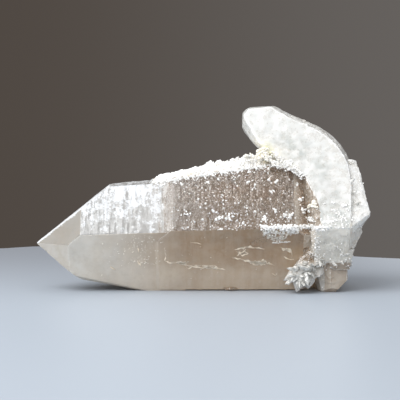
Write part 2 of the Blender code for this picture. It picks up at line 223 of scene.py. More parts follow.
def split_long_edges(points, faces, tags, longest):
    """Splits every edge longer than longest(middle) once, keeping the mesh closed."""
    ends = np.concatenate([faces[:, [0, 1]], faces[:, [1, 2]], faces[:, [2, 0]]])
    edges, index = np.unique(np.sort(ends, axis=1), axis=0, return_inverse=True)
    index = index.reshape(3, -1).T
    a, b = points[edges[:, 0]], points[edges[:, 1]]
    middle = (a + b) / 2.0
    split = np.linalg.norm(a - b, axis=1) > longest(middle)
    number = np.full(len(edges), -1)
    number[split] = len(points) + np.arange(split.sum())
    points = np.concatenate([points, middle[split]])
    mids = number[index]
    count = (mids >= 0).sum(axis=1)
    out, out_tags = [faces[count == 0]], [tags[count == 0]]

    def add(rows, keep):
        out.append(rows)
        out_tags.append(tags[keep])

    for turn in range(3):
        v0, v1, v2 = (faces[:, (turn + i) % 3] for i in range(3))
        m0, m1, m2 = (mids[:, (turn + i) % 3] for i in range(3))
        one = (count == 1) & (m0 >= 0)
        add(np.stack([v0, m0, v2], 1)[one], one)
        add(np.stack([m0, v1, v2], 1)[one], one)
        two = (count == 2) & (m2 < 0)
        # The corner v1 between the two split edges, then the shorter diagonal of what is left.
        add(np.stack([m0, v1, m1], 1)[two], two)
        short = (
            np.linalg.norm(points[m0] - points[v2], axis=1)
            < np.linalg.norm(points[v0] - points[m1], axis=1)
        )
        x, y = two & short, two & ~short
        add(np.stack([v0, m0, v2], 1)[x], x)
        add(np.stack([m0, m1, v2], 1)[x], x)
        add(np.stack([v0, m0, m1], 1)[y], y)
        add(np.stack([v0, m1, v2], 1)[y], y)
    three = count == 3
    v, m = faces[three], mids[three]
    for rows in (
        np.stack([v[:, 0], m[:, 0], m[:, 2]], 1),
        np.stack([m[:, 0], v[:, 1], m[:, 1]], 1),
        np.stack([m[:, 2], m[:, 1], v[:, 2]], 1),
        m,
    ):
        add(rows, three)
    return points, np.concatenate(out), np.concatenate(out_tags), bool(split.any())


FACE_NAMES = list(FACES)
OTHER, CRUST = len(FACE_NAMES), len(FACE_NAMES) + 1


def name_faces(points, faces):
    """The number of each triangle's crystal face, or OTHER, or CRUST."""
    normals, _ = face_normals(points, faces)
    centre = points[faces].mean(axis=1)
    tags = np.full(len(faces), OTHER)
    for k, (normal, point) in enumerate(FACES.values()):
        normal = unit(normal)
        on = (normals @ normal > 0.9995) & (
            np.abs((centre - np.asarray(point)) @ normal) < 0.08
        )
        tags[on] = k
    x, y, z = centre.T
    low = z < top_height(x) + np.where(x > 13.0, 2.7, 3.4)
    crust = (
        (tags == OTHER) & low & (x > -14.5) & (x < 21.0) & (y > -9.0) & (y < 10.5)
        & (z > top_height(x) - 0.8)
    )
    knob = np.linalg.norm((centre - (18.2, -3.6, 37.3)) / (2.9, 2.9, 2.6), axis=1) < 1.0
    tags[crust | (knob & (tags == OTHER))] = CRUST
    return tags


def fine_mesh():
    points, faces = cad_triangles()
    tags = name_faces(points, faces)

    def longest(p):
        x, y, z = p.T
        size = np.full(len(p), 1.4)
        front = y < 13.0 - 0.55 * z
        size[front] = 1.0
        up = (y < -14.2 + 0.577 * (z - 16.0)) & (z > 15.5)
        size[up] = 0.48
        size[(x > 20.0) & (y < -4.0)] = 0.60
        size[(x > -18.0) & (x < -5.0) & (y < -6.0) & (z < 18.5)] = 0.50
        return size

    for _ in range(12):
        points, faces, tags, more = split_long_edges(points, faces, tags, longest)
        if not more:
            break
    return points, faces, tags


def vertex_frame(points, faces):
    """Each vertex's mean normal, and 1 where its faces are flat together, less at an edge."""
    normals, areas = face_normals(points, faces)
    total, area = np.zeros_like(points), np.zeros(len(points))
    for i in range(3):
        np.add.at(total, faces[:, i], normals * areas[:, None])
        np.add.at(area, faces[:, i], areas)
    size = np.linalg.norm(total, axis=1)
    return total / np.maximum(size, 1e-12)[:, None], size / np.maximum(area, 1e-12)


def sharpness(points, faces, normals):
    """How far each vertex stands out past its neighbours: over 0 on an outward edge, under 0 in a corner."""
    ends = np.concatenate([faces[:, [0, 1]], faces[:, [1, 2]], faces[:, [2, 0]]])
    ends = np.unique(np.sort(ends, axis=1), axis=0)
    total, size, count = np.zeros_like(points), np.zeros(len(points)), np.zeros(len(points))
    for i, j in ((0, 1), (1, 0)):
        step = points[ends[:, j]] - points[ends[:, i]]
        np.add.at(total, ends[:, i], step)
        np.add.at(size, ends[:, i], np.linalg.norm(step, axis=1))
        np.add.at(count, ends[:, i], 1.0)
    return -(total * normals).sum(axis=1) / np.maximum(size, 1e-9)


def eased(points, faces, amount, rounds):
    """Moves points toward the middle of their neighbours, each by its own amount."""
    ends = np.concatenate([faces[:, [0, 1]], faces[:, [1, 2]], faces[:, [2, 0]]])
    ends = np.unique(np.sort(ends, axis=1), axis=0)
    ends = ends[(amount[ends] > 0).any(axis=1)]
    count = np.bincount(ends.ravel(), minlength=len(points)).astype(float)
    for _ in range(rounds):
        total = np.zeros_like(points)
        np.add.at(total, ends[:, 0], points[ends[:, 1]])
        np.add.at(total, ends[:, 1], points[ends[:, 0]])
        middle = total / np.maximum(count, 1.0)[:, None]
        points = points + (middle - points) * (amount * (count > 0))[:, None]
    return points


def is_face(tags, *names):
    return np.isin(tags, [FACE_NAMES.index(name) for name in names])


def unnamed_prism(points, faces, tags):
    """The large crystal's back and underside, which FACES doesn't name."""
    x, y, z = points[faces].mean(axis=1).T
    return (tags == OTHER) & (x < 25.5) & ((y > -6.0) | (x < 16.0)) & (z < top_height(x) + 0.3)


def to_vertices(points, faces, per_face):
    out, count = np.zeros(len(points)), np.zeros(len(points))
    for i in range(3):
        np.add.at(out, faces[:, i], per_face)
        np.add.at(count, faces[:, i], 1.0)
    return out / np.maximum(count, 1.0)


def weather(points, faces, tags):
    """Growth lines, etched pits, curved lumps and worn edges, moved into the fine mesh."""
    normals, flat = vertex_frame(points, faces)
    x, y, z = points.T
    inside = ramp(flat, 0.990, 0.9995)
    out = ramp(sharpness(points, faces, normals), 0.03, 0.22)

    def on(*names):
        return to_vertices(points, faces, is_face(tags, *names).astype(float))

    up, low = on("front_up", "later_up", "right_up"), on("front_low", "later_low")
    horn, over = on("horn_front"), on("over_low", "over_up")
    shoulder = on("shoulder_up", "shoulder_low")
    frosted = on("left_top")
    hidden = unnamed_prism(points, faces, tags)
    back = to_vertices(points, faces, hidden.astype(float))
    other = to_vertices(points, faces, ((tags == OTHER) & ~hidden).astype(float))
    crust = to_vertices(points, faces, (tags == CRUST).astype(float))

    lines = np.stack([x * 1.15, y * 0.05, z * 0.05], 1)
    fine = np.stack([x * 2.6, y * 0.28, z * 0.28], 1)
    growth = layered(lines, 3, 3) - 0.5
    streaks = layered(fine, 5, 2) - 0.5
    pits = layered(points * 1.35, 9, 3) - 0.5
    swell = layered(points * 0.16, 21, 2) - 0.5
    lumps = layered(points * 0.45, 31, 3) - 0.5
    druse = facets(points * 0.42, 131, 2.2) + 0.5 * facets(points * 0.85, 137, 2.2)

    frost = up * ramp(x, -8.0, -13.0)
    move = 0.15 * growth * (up + 0.15 * low) + 0.08 * swell * (up + low)
    move += frost * (0.26 * streaks + 0.20 * pits)
    move += up * ramp(x, -9.0, -4.0) * (0.08 * streaks + 0.14 * pits)
    move += horn * (0.60 * swell + (0.46 + 0.30 * ramp(z, 32.0, 24.0)) * lumps + 0.05 * pits)
    move += shoulder * (0.22 * lumps + 0.10 * pits + 0.10 * druse)
    move += over * (0.24 * streaks + 0.10 * pits + 0.16 * druse)
    move += frosted * 0.20 * pits
    move += other * (0.25 * swell + 0.10 * pits + 0.20 * druse)
    move += back * (0.30 * growth + 0.16 * swell + ramp(z, 13.0, 16.0) * (0.08 * streaks + 0.14 * pits))
    move += crust * 0.50 * pits
    worn = out * (0.02 + 0.17 * ramp(layered(points * 0.8, 41, 2), 0.40, 0.75))
    worn *= 1.0 - 0.75 * other
    moved = points + normals * (move * (0.2 + 0.8 * inside) - worn)[:, None]
    # The step between the two growth stages is rounded off on the lower front face.
    low_step = is_face(tags, "step_low")
    x0, x1 = points[faces[low_step]][:, :, 0].min(), points[faces[low_step]][:, :, 0].max()
    near = ramp(x, x0 - 1.6, x0 - 0.2) * ramp(x, x1 + 1.6, x1 + 0.2)
    near = near * (y < -6.0) * (to_vertices(points, faces, is_face(tags, "front_low", "later_low", "step_low").astype(float)) > 0.99)
    near = near * (z > 0.5)
    moved = eased(moved, faces, 0.8 * near, 26)
    # It only shows as a slight bend on the upper one.
    up_step = is_face(tags, "step_up")
    x0, x1 = points[faces[up_step]][:, :, 0].min(), points[faces[up_step]][:, :, 0].max()
    near = ramp(x, x0 - 2.4, x0 - 0.4) * ramp(x, x1 + 2.4, x1 + 0.4)
    near = near * (to_vertices(points, faces, is_face(tags, "front_up", "later_up", "step_up").astype(float)) > 0.99)
    moved = eased(moved, faces, 0.8 * near, 40)
    # So are the curved crystal's blunt end and the crease across its foot.
    end = ramp(z, 36.5, 39.0) * ramp(x, 24.0, 20.0) * (other + horn > 0.5)
    crease = ramp(np.abs(z - 18.3), 2.0, 0.5) * (x > 32.0) * (y < -11.0) * (over + horn + shoulder + other > 0.9)
    moved = eased(moved, faces, np.clip(0.6 * end + 0.75 * crease + 0.35 * (horn > 0.99), 0.0, 0.8), 6)
    moved[:, 2] = np.maximum(moved[:, 2], 0.0)
    return moved, out


# ---------------------------------------------------------------- meshes and nodes


def make_object(name, points, faces, smooth=True):
    """points in growth millimetres."""
    mesh = bpy.data.meshes.new(name)
    mesh.from_pydata(((points + SHIFT) * MM).tolist(), [], faces.tolist())
    mesh.validate()
    mesh.update()
    mesh.polygons.foreach_set("use_smooth", [smooth] * len(mesh.polygons))
    obj = bpy.data.objects.new(name, mesh)
    bpy.context.scene.collection.objects.link(obj)
    return obj


def add_values(obj, name, values, domain):
    layer = obj.data.attributes.new(name, "FLOAT", domain)
    layer.data.foreach_set("value", np.asarray(values, np.float32))


class Shader:
    """Short ways to add nodes to a material."""

    def __init__(self, name):
        self.material = bpy.data.materials.new(name)
        self.material.use_nodes = True
        self.tree = self.material.node_tree
        self.tree.nodes.clear()
        self.output = self.tree.nodes.new("ShaderNodeOutputMaterial")
        self.surface = self.tree.nodes.new("ShaderNodeBsdfPrincipled")
        self.link(self.surface.outputs[0], self.output.inputs["Surface"])
        where = self.tree.nodes.new("ShaderNodeTexCoord")
        self.place = self.scaled(where.outputs["Object"], (1000.0, 1000.0, 1000.0))

    def link(self, start, end):
        self.tree.links.new(start, end)

    def put(self, socket, value):
        if isinstance(value, bpy.types.NodeSocket):
            self.link(value, socket)
        elif isinstance(value, (tuple, list)) and len(value) == 3 and socket.type == "RGBA":
            socket.default_value = (*value, 1.0)
        else:
            socket.default_value = value

    def scaled(self, vector, sizes):
        node = self.tree.nodes.new("ShaderNodeVectorMath")
        node.operation = "MULTIPLY"
        self.put(node.inputs[0], vector)
        node.inputs[1].default_value = sizes
        return node.outputs[0]

    def value(self, name):
        node = self.tree.nodes.new("ShaderNodeAttribute")
        node.attribute_name = name
        return node.outputs["Fac"]

    def noise(self, scale, detail=3.0, rough=0.6, stretch=(1.0, 1.0, 1.0), warp=0.0):
        node = self.tree.nodes.new("ShaderNodeTexNoise")
        self.put(node.inputs["Vector"], self.scaled(self.place, stretch))
        node.inputs["Scale"].default_value = scale
        node.inputs["Detail"].default_value = detail
        node.inputs["Roughness"].default_value = rough
        node.inputs["Distortion"].default_value = warp
        return node.outputs["Fac"]

    def cells(self, scale, feature="F1", stretch=(1.0, 1.0, 1.0)):
        node = self.tree.nodes.new("ShaderNodeTexVoronoi")
        node.feature = feature
        self.put(node.inputs["Vector"], self.scaled(self.place, stretch))
        node.inputs["Scale"].default_value = scale
        return node.outputs["Distance"]

    def dots(self, scale, share, wide=0.45):
        """Round specks in that share of the cells of a jostled grid."""
        node = self.tree.nodes.new("ShaderNodeTexVoronoi")
        push = self.tree.nodes.new("ShaderNodeTexNoise")
        self.put(push.inputs["Vector"], self.place)
        push.inputs["Scale"].default_value = 1.3 * scale
        push.inputs["Detail"].default_value = 2.0
        add = self.tree.nodes.new("ShaderNodeVectorMath")
        add.operation = "ADD"
        self.link(self.place, add.inputs[0])
        self.link(self.scaled(push.outputs["Color"], (0.9 / scale, 0.9 / scale, 0.9 / scale)), add.inputs[1])
        self.link(add.outputs[0], node.inputs["Vector"])
        node.inputs["Scale"].default_value = scale
        split = self.tree.nodes.new("ShaderNodeSeparateXYZ")
        self.link(node.outputs["Color"], split.inputs[0])
        chosen = self.math("LESS_THAN", split.outputs["X"], share)
        reach = self.math("ADD", 0.35 * wide, self.math("MULTIPLY", split.outputs["Y"], 0.65 * wide))
        near = self.range(self.math("SUBTRACT", reach, node.outputs["Distance"]), -0.06, 0.10)
        return self.math("MULTIPLY", chosen, near)

    def math(self, operation, *values, clamp=False):
        node = self.tree.nodes.new("ShaderNodeMath")
        node.operation = operation
        node.use_clamp = clamp
        for socket, value in zip(node.inputs, values):
            self.put(socket, value)
        return node.outputs[0]

    def range(self, value, low, high, start=0.0, end=1.0):
        node = self.tree.nodes.new("ShaderNodeMapRange")
        node.interpolation_type = "SMOOTHSTEP"
        for name, given in (
            ("Value", value), ("From Min", low), ("From Max", high), ("To Min", start), ("To Max", end),
        ):  # fmt: skip
            self.put(node.inputs[name], given)
        return node.outputs[0]

    def blend(self, amount, first, second):
        """Mixes two numbers or two colours."""
        node = self.tree.nodes.new("ShaderNodeMix")
        colours = any(
            isinstance(v, (tuple, list)) or getattr(v, "type", "") == "RGBA"
            for v in (first, second)
        )
        node.data_type = "RGBA" if colours else "FLOAT"
        at = 6 if colours else 2
        self.put(node.inputs[0], amount)
        self.put(node.inputs[at], first)
        self.put(node.inputs[at + 1], second)
        return node.outputs[2 if colours else 0]

    def bump(self, height, strength, distance_mm):
        node = self.tree.nodes.new("ShaderNodeBump")
        self.put(node.inputs["Strength"], strength)
        node.inputs["Distance"].default_value = distance_mm * MM
        self.put(node.inputs["Height"], height)
        self.link(node.outputs[0], self.surface.inputs["Normal"])

    def set(self, **values):
        for name, value in values.items():
            self.put(self.surface.inputs[name.replace("_", " ").title().replace("Ior", "IOR")], value)

    def absorb(self, colour, density):
        node = self.tree.nodes.new("ShaderNodeVolumeAbsorption")
        node.inputs["Color"].default_value = (*colour, 1.0)
        node.inputs["Density"].default_value = density
        self.link(node.outputs[0], self.output.inputs["Volume"])


# ---------------------------------------------------------------- the crystal's own values


def crystal_values(points, faces, tags):
    """How milky, frosted, hazy and speckled each triangle of the crystal is, from where it is."""
    normals, _ = face_normals(points, faces)
    c = points[faces].mean(axis=1)
    x, y, z = c.T
    wide = layered(c * 0.18, 61, 2)
    mid = layered(c * 0.55, 67, 3)
    hidden = unnamed_prism(points, faces, tags)
    group = ((tags == OTHER) & ~hidden) | is_face(tags, *SIDE_GROUP)
    main = ~group & (tags != CRUST)
    back_up, back_low = hidden & (normals[:, 2] > 0.15), hidden & (normals[:, 2] <= 0.15)
    u_face = is_face(tags, "front_up", "later_up", "step_up", "right_up") | back_up
    l_face = is_face(tags, "front_low", "later_low", "step_low") | back_low
    left_tip = is_face(tags, "left_up", "left_low")
    over = is_face(tags, "over_low", "over_up")
    blades = group & (x < 34.0) & (z < 11.0) & (y < -6.0) & (x > 16.0)
    foot = group & (z < 8.3) & (x > 31.0) & ~blades
    side_low = group & (x > 39.0) & (z < 19.5) & (z > 8.0) & (normals[:, 0] > 0.3) & (y < 4.0)
    side_low &= ~is_face(tags, "shoulder_low", "shoulder_up")
    side = group & (x > 40.5) & (z > 15.0) & ~side_low
    rear = group & (y > 4.0) & (x > 26.0) & ~foot & (normals[:, 1] > -0.2)
    horn = group & ~(blades | foot | side | side_low | over | rear) & (z > 11.0)
    # The curved crystal's inner side, where it meets the smoky prism, is as clear as the prism.
    inner = horn & (normals[:, 0] < -0.5) & (x > 26.0) & (z < 32.0) & (y < -4.0)
    inner |= (tags == OTHER) & (x > 26.0) & (x < 32.2) & (y < -8.0) & (z > 9.5) & (z < 20.0)
    clear_to = np.interp(z, (19.0, 23.9, 26.1, 30.6, 34.0), (32.4, 32.1, 31.5, 29.0, 25.6))
    inner |= (horn | is_face(tags, "over_up")) & (x < clear_to + 1.0 * (mid - 0.5)) & (x > 26.5) & (y < -6.0) & (z > 18.0) & (z < 33.0)
    horn, over = horn & ~inner, over & ~inner

    milk = np.zeros(len(faces))
    milk[horn] = 1.0
    rim = horn & ~is_face(tags, "horn_front") & (normals[:, 1] < 0.2) & (normals[:, 0] > 0.1)
    milk[rim] = 0.92
    milk[over] = 0.86
    milk[side] = 0.92
    milk[is_face(tags, "shoulder_up", "shoulder_low")] = 1.0
    milk[side_low] = 0.74
    milk[rear] = 0.75
    milk[blades] = 0.76 * np.where(x[blades] < 31.0, ramp(z[blades], 9.4, 7.8), 1.0)
    milk[foot] = 0.20
    milk += np.where(group & ~inner, 0.35 * (mid - 0.5), 0.0)
    milk[tags == CRUST] = 1.0
    milk[is_face(tags, "left_up")] = 0.24

    # Frost covers most of the upper front face at the left, less toward its lower edge.
    climb = ramp(z - 17.0, -0.5, 10.0)
    ragged = x + 8.5 * (layered(c * (1.0, 0.08, 0.08), 77, 3) - 0.5) + 3.0 * (mid - 0.5)
    cover = np.where(u_face, ramp(ragged, -7.0, -13.2), 0.0)
    frost = np.where(u_face, ramp(ragged, -7.0, -12.0) * (0.20 + 0.37 * climb), 0.0)
    frost = np.where(is_face(tags, "top"), 0.50, frost)
    frost = np.where(is_face(tags, "left_top", "step_top"), 0.95, frost)
    rim_at = (c - np.asarray(LEFT_TIP)) @ unit(FACES["left_top"][0])
    frost = np.where(is_face(tags, "left_up"), 0.90 * ramp(rim_at + 0.9 * (mid - 0.5), -0.55, -0.10), frost)
    cover = np.where(u_face, cover, ramp(frost, 0.01, 0.10))
    near_edge = ramp(z, 20.5, 17.6) + ramp(z - top_height(x), -2.6, -0.2)
    near_edge += 0.8 * ramp(x, 24.6, 25.3)
    speck = np.where(u_face, ramp(ragged, -13.0, -9.0) * (0.31 + 0.30 * near_edge) * (0.72 + 0.28 * ramp(x, -4.0, 4.0)), 0.0)
    speck = np.where(is_face(tags, "right_up"), 0.42 + 0.3 * near_edge, speck)
    speck = np.where(inner, np.where(z < 18.4, 0.10, 0.40), speck)
    # lift lightens the milky colour. Partly it is how white each part is. Partly it is painted light on faces turned
    # down or away from the lamp, such as the shoulder, the low faces at the right and the blades. The curved crystal's
    # lower faces get lighter toward their top.
    lift = np.zeros(len(faces))
    lift[side], lift[side_low], lift[rear], lift[blades] = 0.55, 0.85, 0.4, 0.42
    lift[rim] = 0.25
    lift[over] = 0.30 + 0.65 * ramp(z[over], 14.0, 18.0)
    lift[tags == CRUST] = 1.0
    lift[is_face(tags, "shoulder_up", "shoulder_low")] = 0.9

    # Haze in the stone: pale at the left, clearing to brown at the right and the top of the face.
    warm = ramp(x, -32.0, 2.0)
    haze = 0.88 - 0.26 * warm
    # Painted light: the lower front face is hazier and so paler toward its bottom, standing in for the pale table seen
    # through the stone.
    haze += np.where(l_face, 0.20 * ramp(z, 9.5, 4.0) * warm, 0.0)
    haze += 0.22 * (wide - 0.5) + 0.10 * (mid - 0.5)
    haze -= np.where(l_face, 0.16 * ramp(z, 10.0, 15.0) * ramp(x, 0.0, 16.0), 0.0)
    haze[u_face] *= 0.12
    strip = is_face(tags, "right_up")
    haze[strip] = 0.58 - 0.30 * ramp(x[strip], 25.6, 28.4)
    # Painted light and shade on the left tip: each face's haze is set to even out how differently light falls on the
    # upper and the lower face.
    haze[is_face(tags, "left_up")] = 0.22
    haze[is_face(tags, "left_low")] = 0.74
    haze[is_face(tags, "step_low")] = 0.80
    haze[inner] = 0.40
    haze[inner & (z < 18.4)] = 0.68
    haze[inner & (z < 12.5) & (x < 31.0)] = 0.38
    beside = (main | inner) & (x > 29.8) & (y < -7.0) & (z > 9.0) & (z < 18.2)
    haze[beside] = 0.82
    haze = np.where(main | inner, haze, 0.50)
    haze[blades & (z > 8.0) & (x < 31.0)] = 0.32
    # Painted light: the lower front face is also less brown toward its bottom, for the same table light.
    warm = np.where(l_face, warm * (0.70 + 0.30 * ramp(z, 3.5, 10.5)), warm)
    warm = np.where(u_face, np.minimum(warm, 0.60 + 0.40 * ramp(x, -8.0, 10.0)), warm)
    warm[strip] = 0.25 + 0.65 * ramp(x[strip], 25.6, 28.4)
    warm = np.where(is_face(tags, "step_low"), warm - 0.12, warm)
    warm = np.where(group & ~inner, 0.45, warm)
    warm[inner] = np.where(z[inner] < 18.4, 0.42, 0.72)
    warm[(blades | inner) & (z > 8.0) & (z < 12.5) & (x < 31.0)] = 0.80

    warm[beside] = 0.12
    warm[foot] = 0.60

    def spot(px, py, pz, reach):
        return np.exp(-(((c - (px, py, pz)) / reach) ** 2).sum(axis=1))

    # Grey patches in the curved crystal: real patches near its top, and painted shade on its left-facing edge at the
    # right, from the patch near x 33 and the darkening downward from z 31.
    grey_patches_and_shade = 0.22 + 0.9 * spot(26.6, -5.7, 38.7, (3.6, 4.0, 2.6)) + 0.8 * spot(22.6, -4.2, 41.2, (2.6, 4.0, 1.8))
    grey_patches_and_shade += 0.5 * spot(24.6, -8.0, 35.0, (2.6, 4.0, 1.6)) + 0.7 * spot(33.0, -8.6, 33.6, (2.4, 4.0, 3.6))
    grey_patches_and_shade += 0.55 * ramp(z, 31.0, 23.0) * (x > 31.0)
    stain = 1.0 * spot(18.1, -5.2, 39.4, (1.3, 3.0, 1.2)) + 0.5 * spot(19.6, -5.2, 38.4, (1.0, 3.0, 0.8))
    cream = 0.95 * spot(18.6, -5.6, 37.4, (3.6, 3.5, 2.1)) + 0.6 * spot(15.6, -3.0, 40.2, (2.0, 3.0, 1.6))
    cream += 0.5 * spot(22.6, -8.0, 34.6, (3.4, 3.0, 0.9))
    cream += 0.25 * (tags == CRUST) + 0.30 * ((over & ~is_face(tags, "over_up")) | side_low) + 0.16 * is_face(tags, "shoulder_low")
    return {
        "milk": np.clip(milk, 0, 1),
        "frost": np.clip(frost, 0, 1),
        "cover": cover,
        "speck": np.clip(speck, 0, 1),
        "haze": np.clip(haze, 0, 1),
        "warm": np.clip(warm, 0, 1),
        "stain": np.clip(stain, 0, 1),
        "grey_patches_and_shade": np.clip(grey_patches_and_shade, 0, 1),
        "lift": lift,
        "cream": np.clip(cream, 0, 1),
        "lined": u_face * 1.0 + over * 1.0 + l_face * 0.10 + horn * 0.25 + left_tip * 0.08,
    }


def quartz_material():
    s = Shader("quartz")
    milk, frost, speck, haze = (s.value(n) for n in ("milk", "frost", "speck", "haze"))
    broad = s.noise(0.62, 4.0, 0.6, stretch=(1.0, 0.14, 0.14), warp=0.3)
    narrow = s.noise(2.2, 3.0, 0.6, stretch=(1.0, 0.16, 0.16))
    patch = s.noise(0.40, 4.0, 0.6)
    fine = s.noise(1.9, 3.0, 0.65)
    cloud = s.noise(0.16, 3.0, 0.55)
    mottle = s.noise(0.75, 4.0, 0.62)

    # Frost on the upper front face, drawn out in streaks across the crystal.
    mix = s.math("ADD", s.math("MULTIPLY", broad, 0.28), s.math("MULTIPLY", narrow, 0.07))
    mix = s.math("ADD", mix, s.math("ADD", s.math("MULTIPLY", patch, 0.42), s.math("MULTIPLY", fine, 0.23)))
    on = s.value("cover")
    edge = s.math("SUBTRACT", 1.0, frost)
    rime = s.range(s.range(mix, 0.38, 0.62), s.math("SUBTRACT", edge, 0.34), s.math("ADD", edge, 0.34))
    rime = s.math("MULTIPLY", on, rime)
    # Sugar specks.
    sugar = s.math("MAXIMUM", s.math("MULTIPLY", s.dots(3.3, s.math("MULTIPLY", speck, 1.15)), 0.64), s.dots(2.3, s.math("MULTIPLY", speck, 0.36)))
    sugar = s.math("MAXIMUM", sugar, s.dots(1.3, s.math("MULTIPLY", speck, 0.13), 0.36))
    dust = s.math("MULTIPLY", s.range(speck, 0.01, 0.06), s.range(fine, 0.42, 0.72, 0.0, 0.36))
    dust = s.math("MULTIPLY", dust, s.range(broad, 0.38, 0.62, 0.55, 1.15))
    # White on the convex edges: partly worn edges, partly a painted highlight along the left tip's top rim.
    worn = s.math("MULTIPLY", s.value("edge"), s.range(fine, 0.38, 0.60))
    white = s.math("MAXIMUM", s.math("MULTIPLY", sugar, 0.80), s.math("MAXIMUM", worn, dust))
    # Milk in the side crystals, cloudy.
    cloudy = s.math("MULTIPLY", milk, s.range(mottle, 0.25, 0.68, 0.80, 1.0))

    warm = s.value("warm")
    stone = s.blend(warm, (0.79, 0.75, 0.675), (0.47, 0.31, 0.175))
    stone = s.blend(s.range(cloud, 0.35, 0.65, 0.0, 0.28), stone, (0.62, 0.50, 0.36))
    drift = s.math("ADD", s.math("MULTIPLY", patch, 0.5), s.math("MULTIPLY", broad, 0.5))
    stone = s.blend(s.range(drift, 0.38, 0.62, 0.0, 0.26), stone, (0.84, 0.75, 0.62))
    stone = s.blend(s.range(mottle, 0.46, 0.68, 0.0, 0.20), stone, (0.55, 0.46, 0.35))
    stone = s.blend(s.range(patch, 0.44, 0.30, 0.0, 0.22), stone, (0.88, 0.82, 0.72))
    stone = s.blend(s.math("MULTIPLY", on, 0.9), stone, (0.38, 0.375, 0.36))
    soft = s.math("ADD", s.math("MULTIPLY", s.noise(0.40, 2.0, 0.5), 0.75), s.math("MULTIPLY", mottle, 0.25))
    # Grey patches and painted shade darken the milky colour.
    greying_and_shade = s.math("MULTIPLY", s.value("grey_patches_and_shade"), s.range(soft, 0.60, 0.42))
    milky = s.blend(greying_and_shade, (0.64, 0.635, 0.61), (0.44, 0.455, 0.43))
    # Milky colour lightened by lift: partly each part's own whiteness, partly painted light on faces turned away from
    # the lamp.
    milky = s.blend(s.value("lift"), milky, (0.88, 0.87, 0.835))
    colour = s.blend(cloudy, stone, milky)
    colour = s.blend(rime, colour, (0.60, 0.605, 0.61))
    colour = s.blend(s.math("MULTIPLY", s.value("cream"), s.range(fine, 0.25, 0.55)), colour, (0.86, 0.79, 0.64))
    colour = s.blend(s.math("MULTIPLY", s.value("stain"), s.range(mottle, 0.25, 0.55)), colour, (0.62, 0.60, 0.38))
    colour = s.blend(s.math("MULTIPLY", white, s.math("SUBTRACT", 1.0, s.value("cream"))), colour, (0.88, 0.88, 0.87))

    clear = s.math("SUBTRACT", 0.97, s.math("MULTIPLY", haze, 0.80))
    clear = s.math("MULTIPLY", clear, s.math("SUBTRACT", 1.0, s.math("MULTIPLY", cloudy, 0.88)))
    clear = s.math("MULTIPLY", clear, s.math("SUBTRACT", 1.0, s.math("MULTIPLY", on, 0.6)))
    clear = s.math("MULTIPLY", clear, s.math("SUBTRACT", 1.0, s.math("MULTIPLY", rime, 0.8)))
    clear = s.math("MULTIPLY", clear, s.math("SUBTRACT", 1.0, s.math("MULTIPLY", white, 0.85)), clamp=True)
    rough = s.math("ADD", 0.08, s.math("MULTIPLY", haze, 0.18))
    rough = s.math("ADD", rough, s.math("MULTIPLY", cloudy, 0.12))
    rough = s.math("MAXIMUM", rough, s.math("MULTIPLY", s.math("MAXIMUM", white, rime), 0.50), clamp=True)

    s.set(base_color=colour, transmission_weight=clear, roughness=rough, ior=IOR)
    s.set(subsurface_weight=s.math("MULTIPLY", cloudy, 0.6), subsurface_radius=(1.0, 1.0, 1.0), subsurface_scale=0.0025)
    streaks = s.math("ADD", s.math("MULTIPLY", broad, 0.4), s.math("MULTIPLY", narrow, 0.6))
    height = s.math("MULTIPLY", s.value("lined"), streaks)
    height = s.math("ADD", height, s.math("MULTIPLY", fine, s.math("ADD", 0.04, s.math("MULTIPLY", white, 0.6))))
    height = s.math("ADD", height, s.math("MULTIPLY", s.math("MULTIPLY", mottle, milk), 0.20))
    s.bump(height, 0.45, 0.25)
    s.absorb((0.80, 0.66, 0.475), 34.0)
    return s.material


def sugar_material():
    s = Shader("sugary_crust")
    tint = s.value("tint")
    fine = s.noise(1.8, 3.0, 0.6)
    glassy = s.range(tint, 0.0, -1.0)
    colour = s.blend(s.range(tint, 0.2, 1.0), (0.985, 0.962, 0.915), (0.95, 0.88, 0.73))
    colour = s.blend(s.range(tint, 1.0, 2.0), colour, (0.70, 0.66, 0.42))
    colour = s.blend(s.range(fine, 0.28, 0.50, 0.20, 0.0), colour, (0.82, 0.77, 0.67))
    colour = s.blend(glassy, colour, (0.93, 0.85, 0.73))
    s.set(base_color=colour, ior=IOR, roughness=s.math("SUBTRACT", 0.45, s.math("MULTIPLY", glassy, 0.27)))
    s.set(transmission_weight=s.math("MULTIPLY", glassy, 0.35))
    s.set(subsurface_weight=0.5, subsurface_radius=(1.0, 0.98, 0.93), subsurface_scale=0.0009)
    s.bump(fine, 0.4, 0.12)
    return s.material


# ---------------------------------------------------------------- grains

GRAIN_POINTS, GRAIN_FACES = None, None


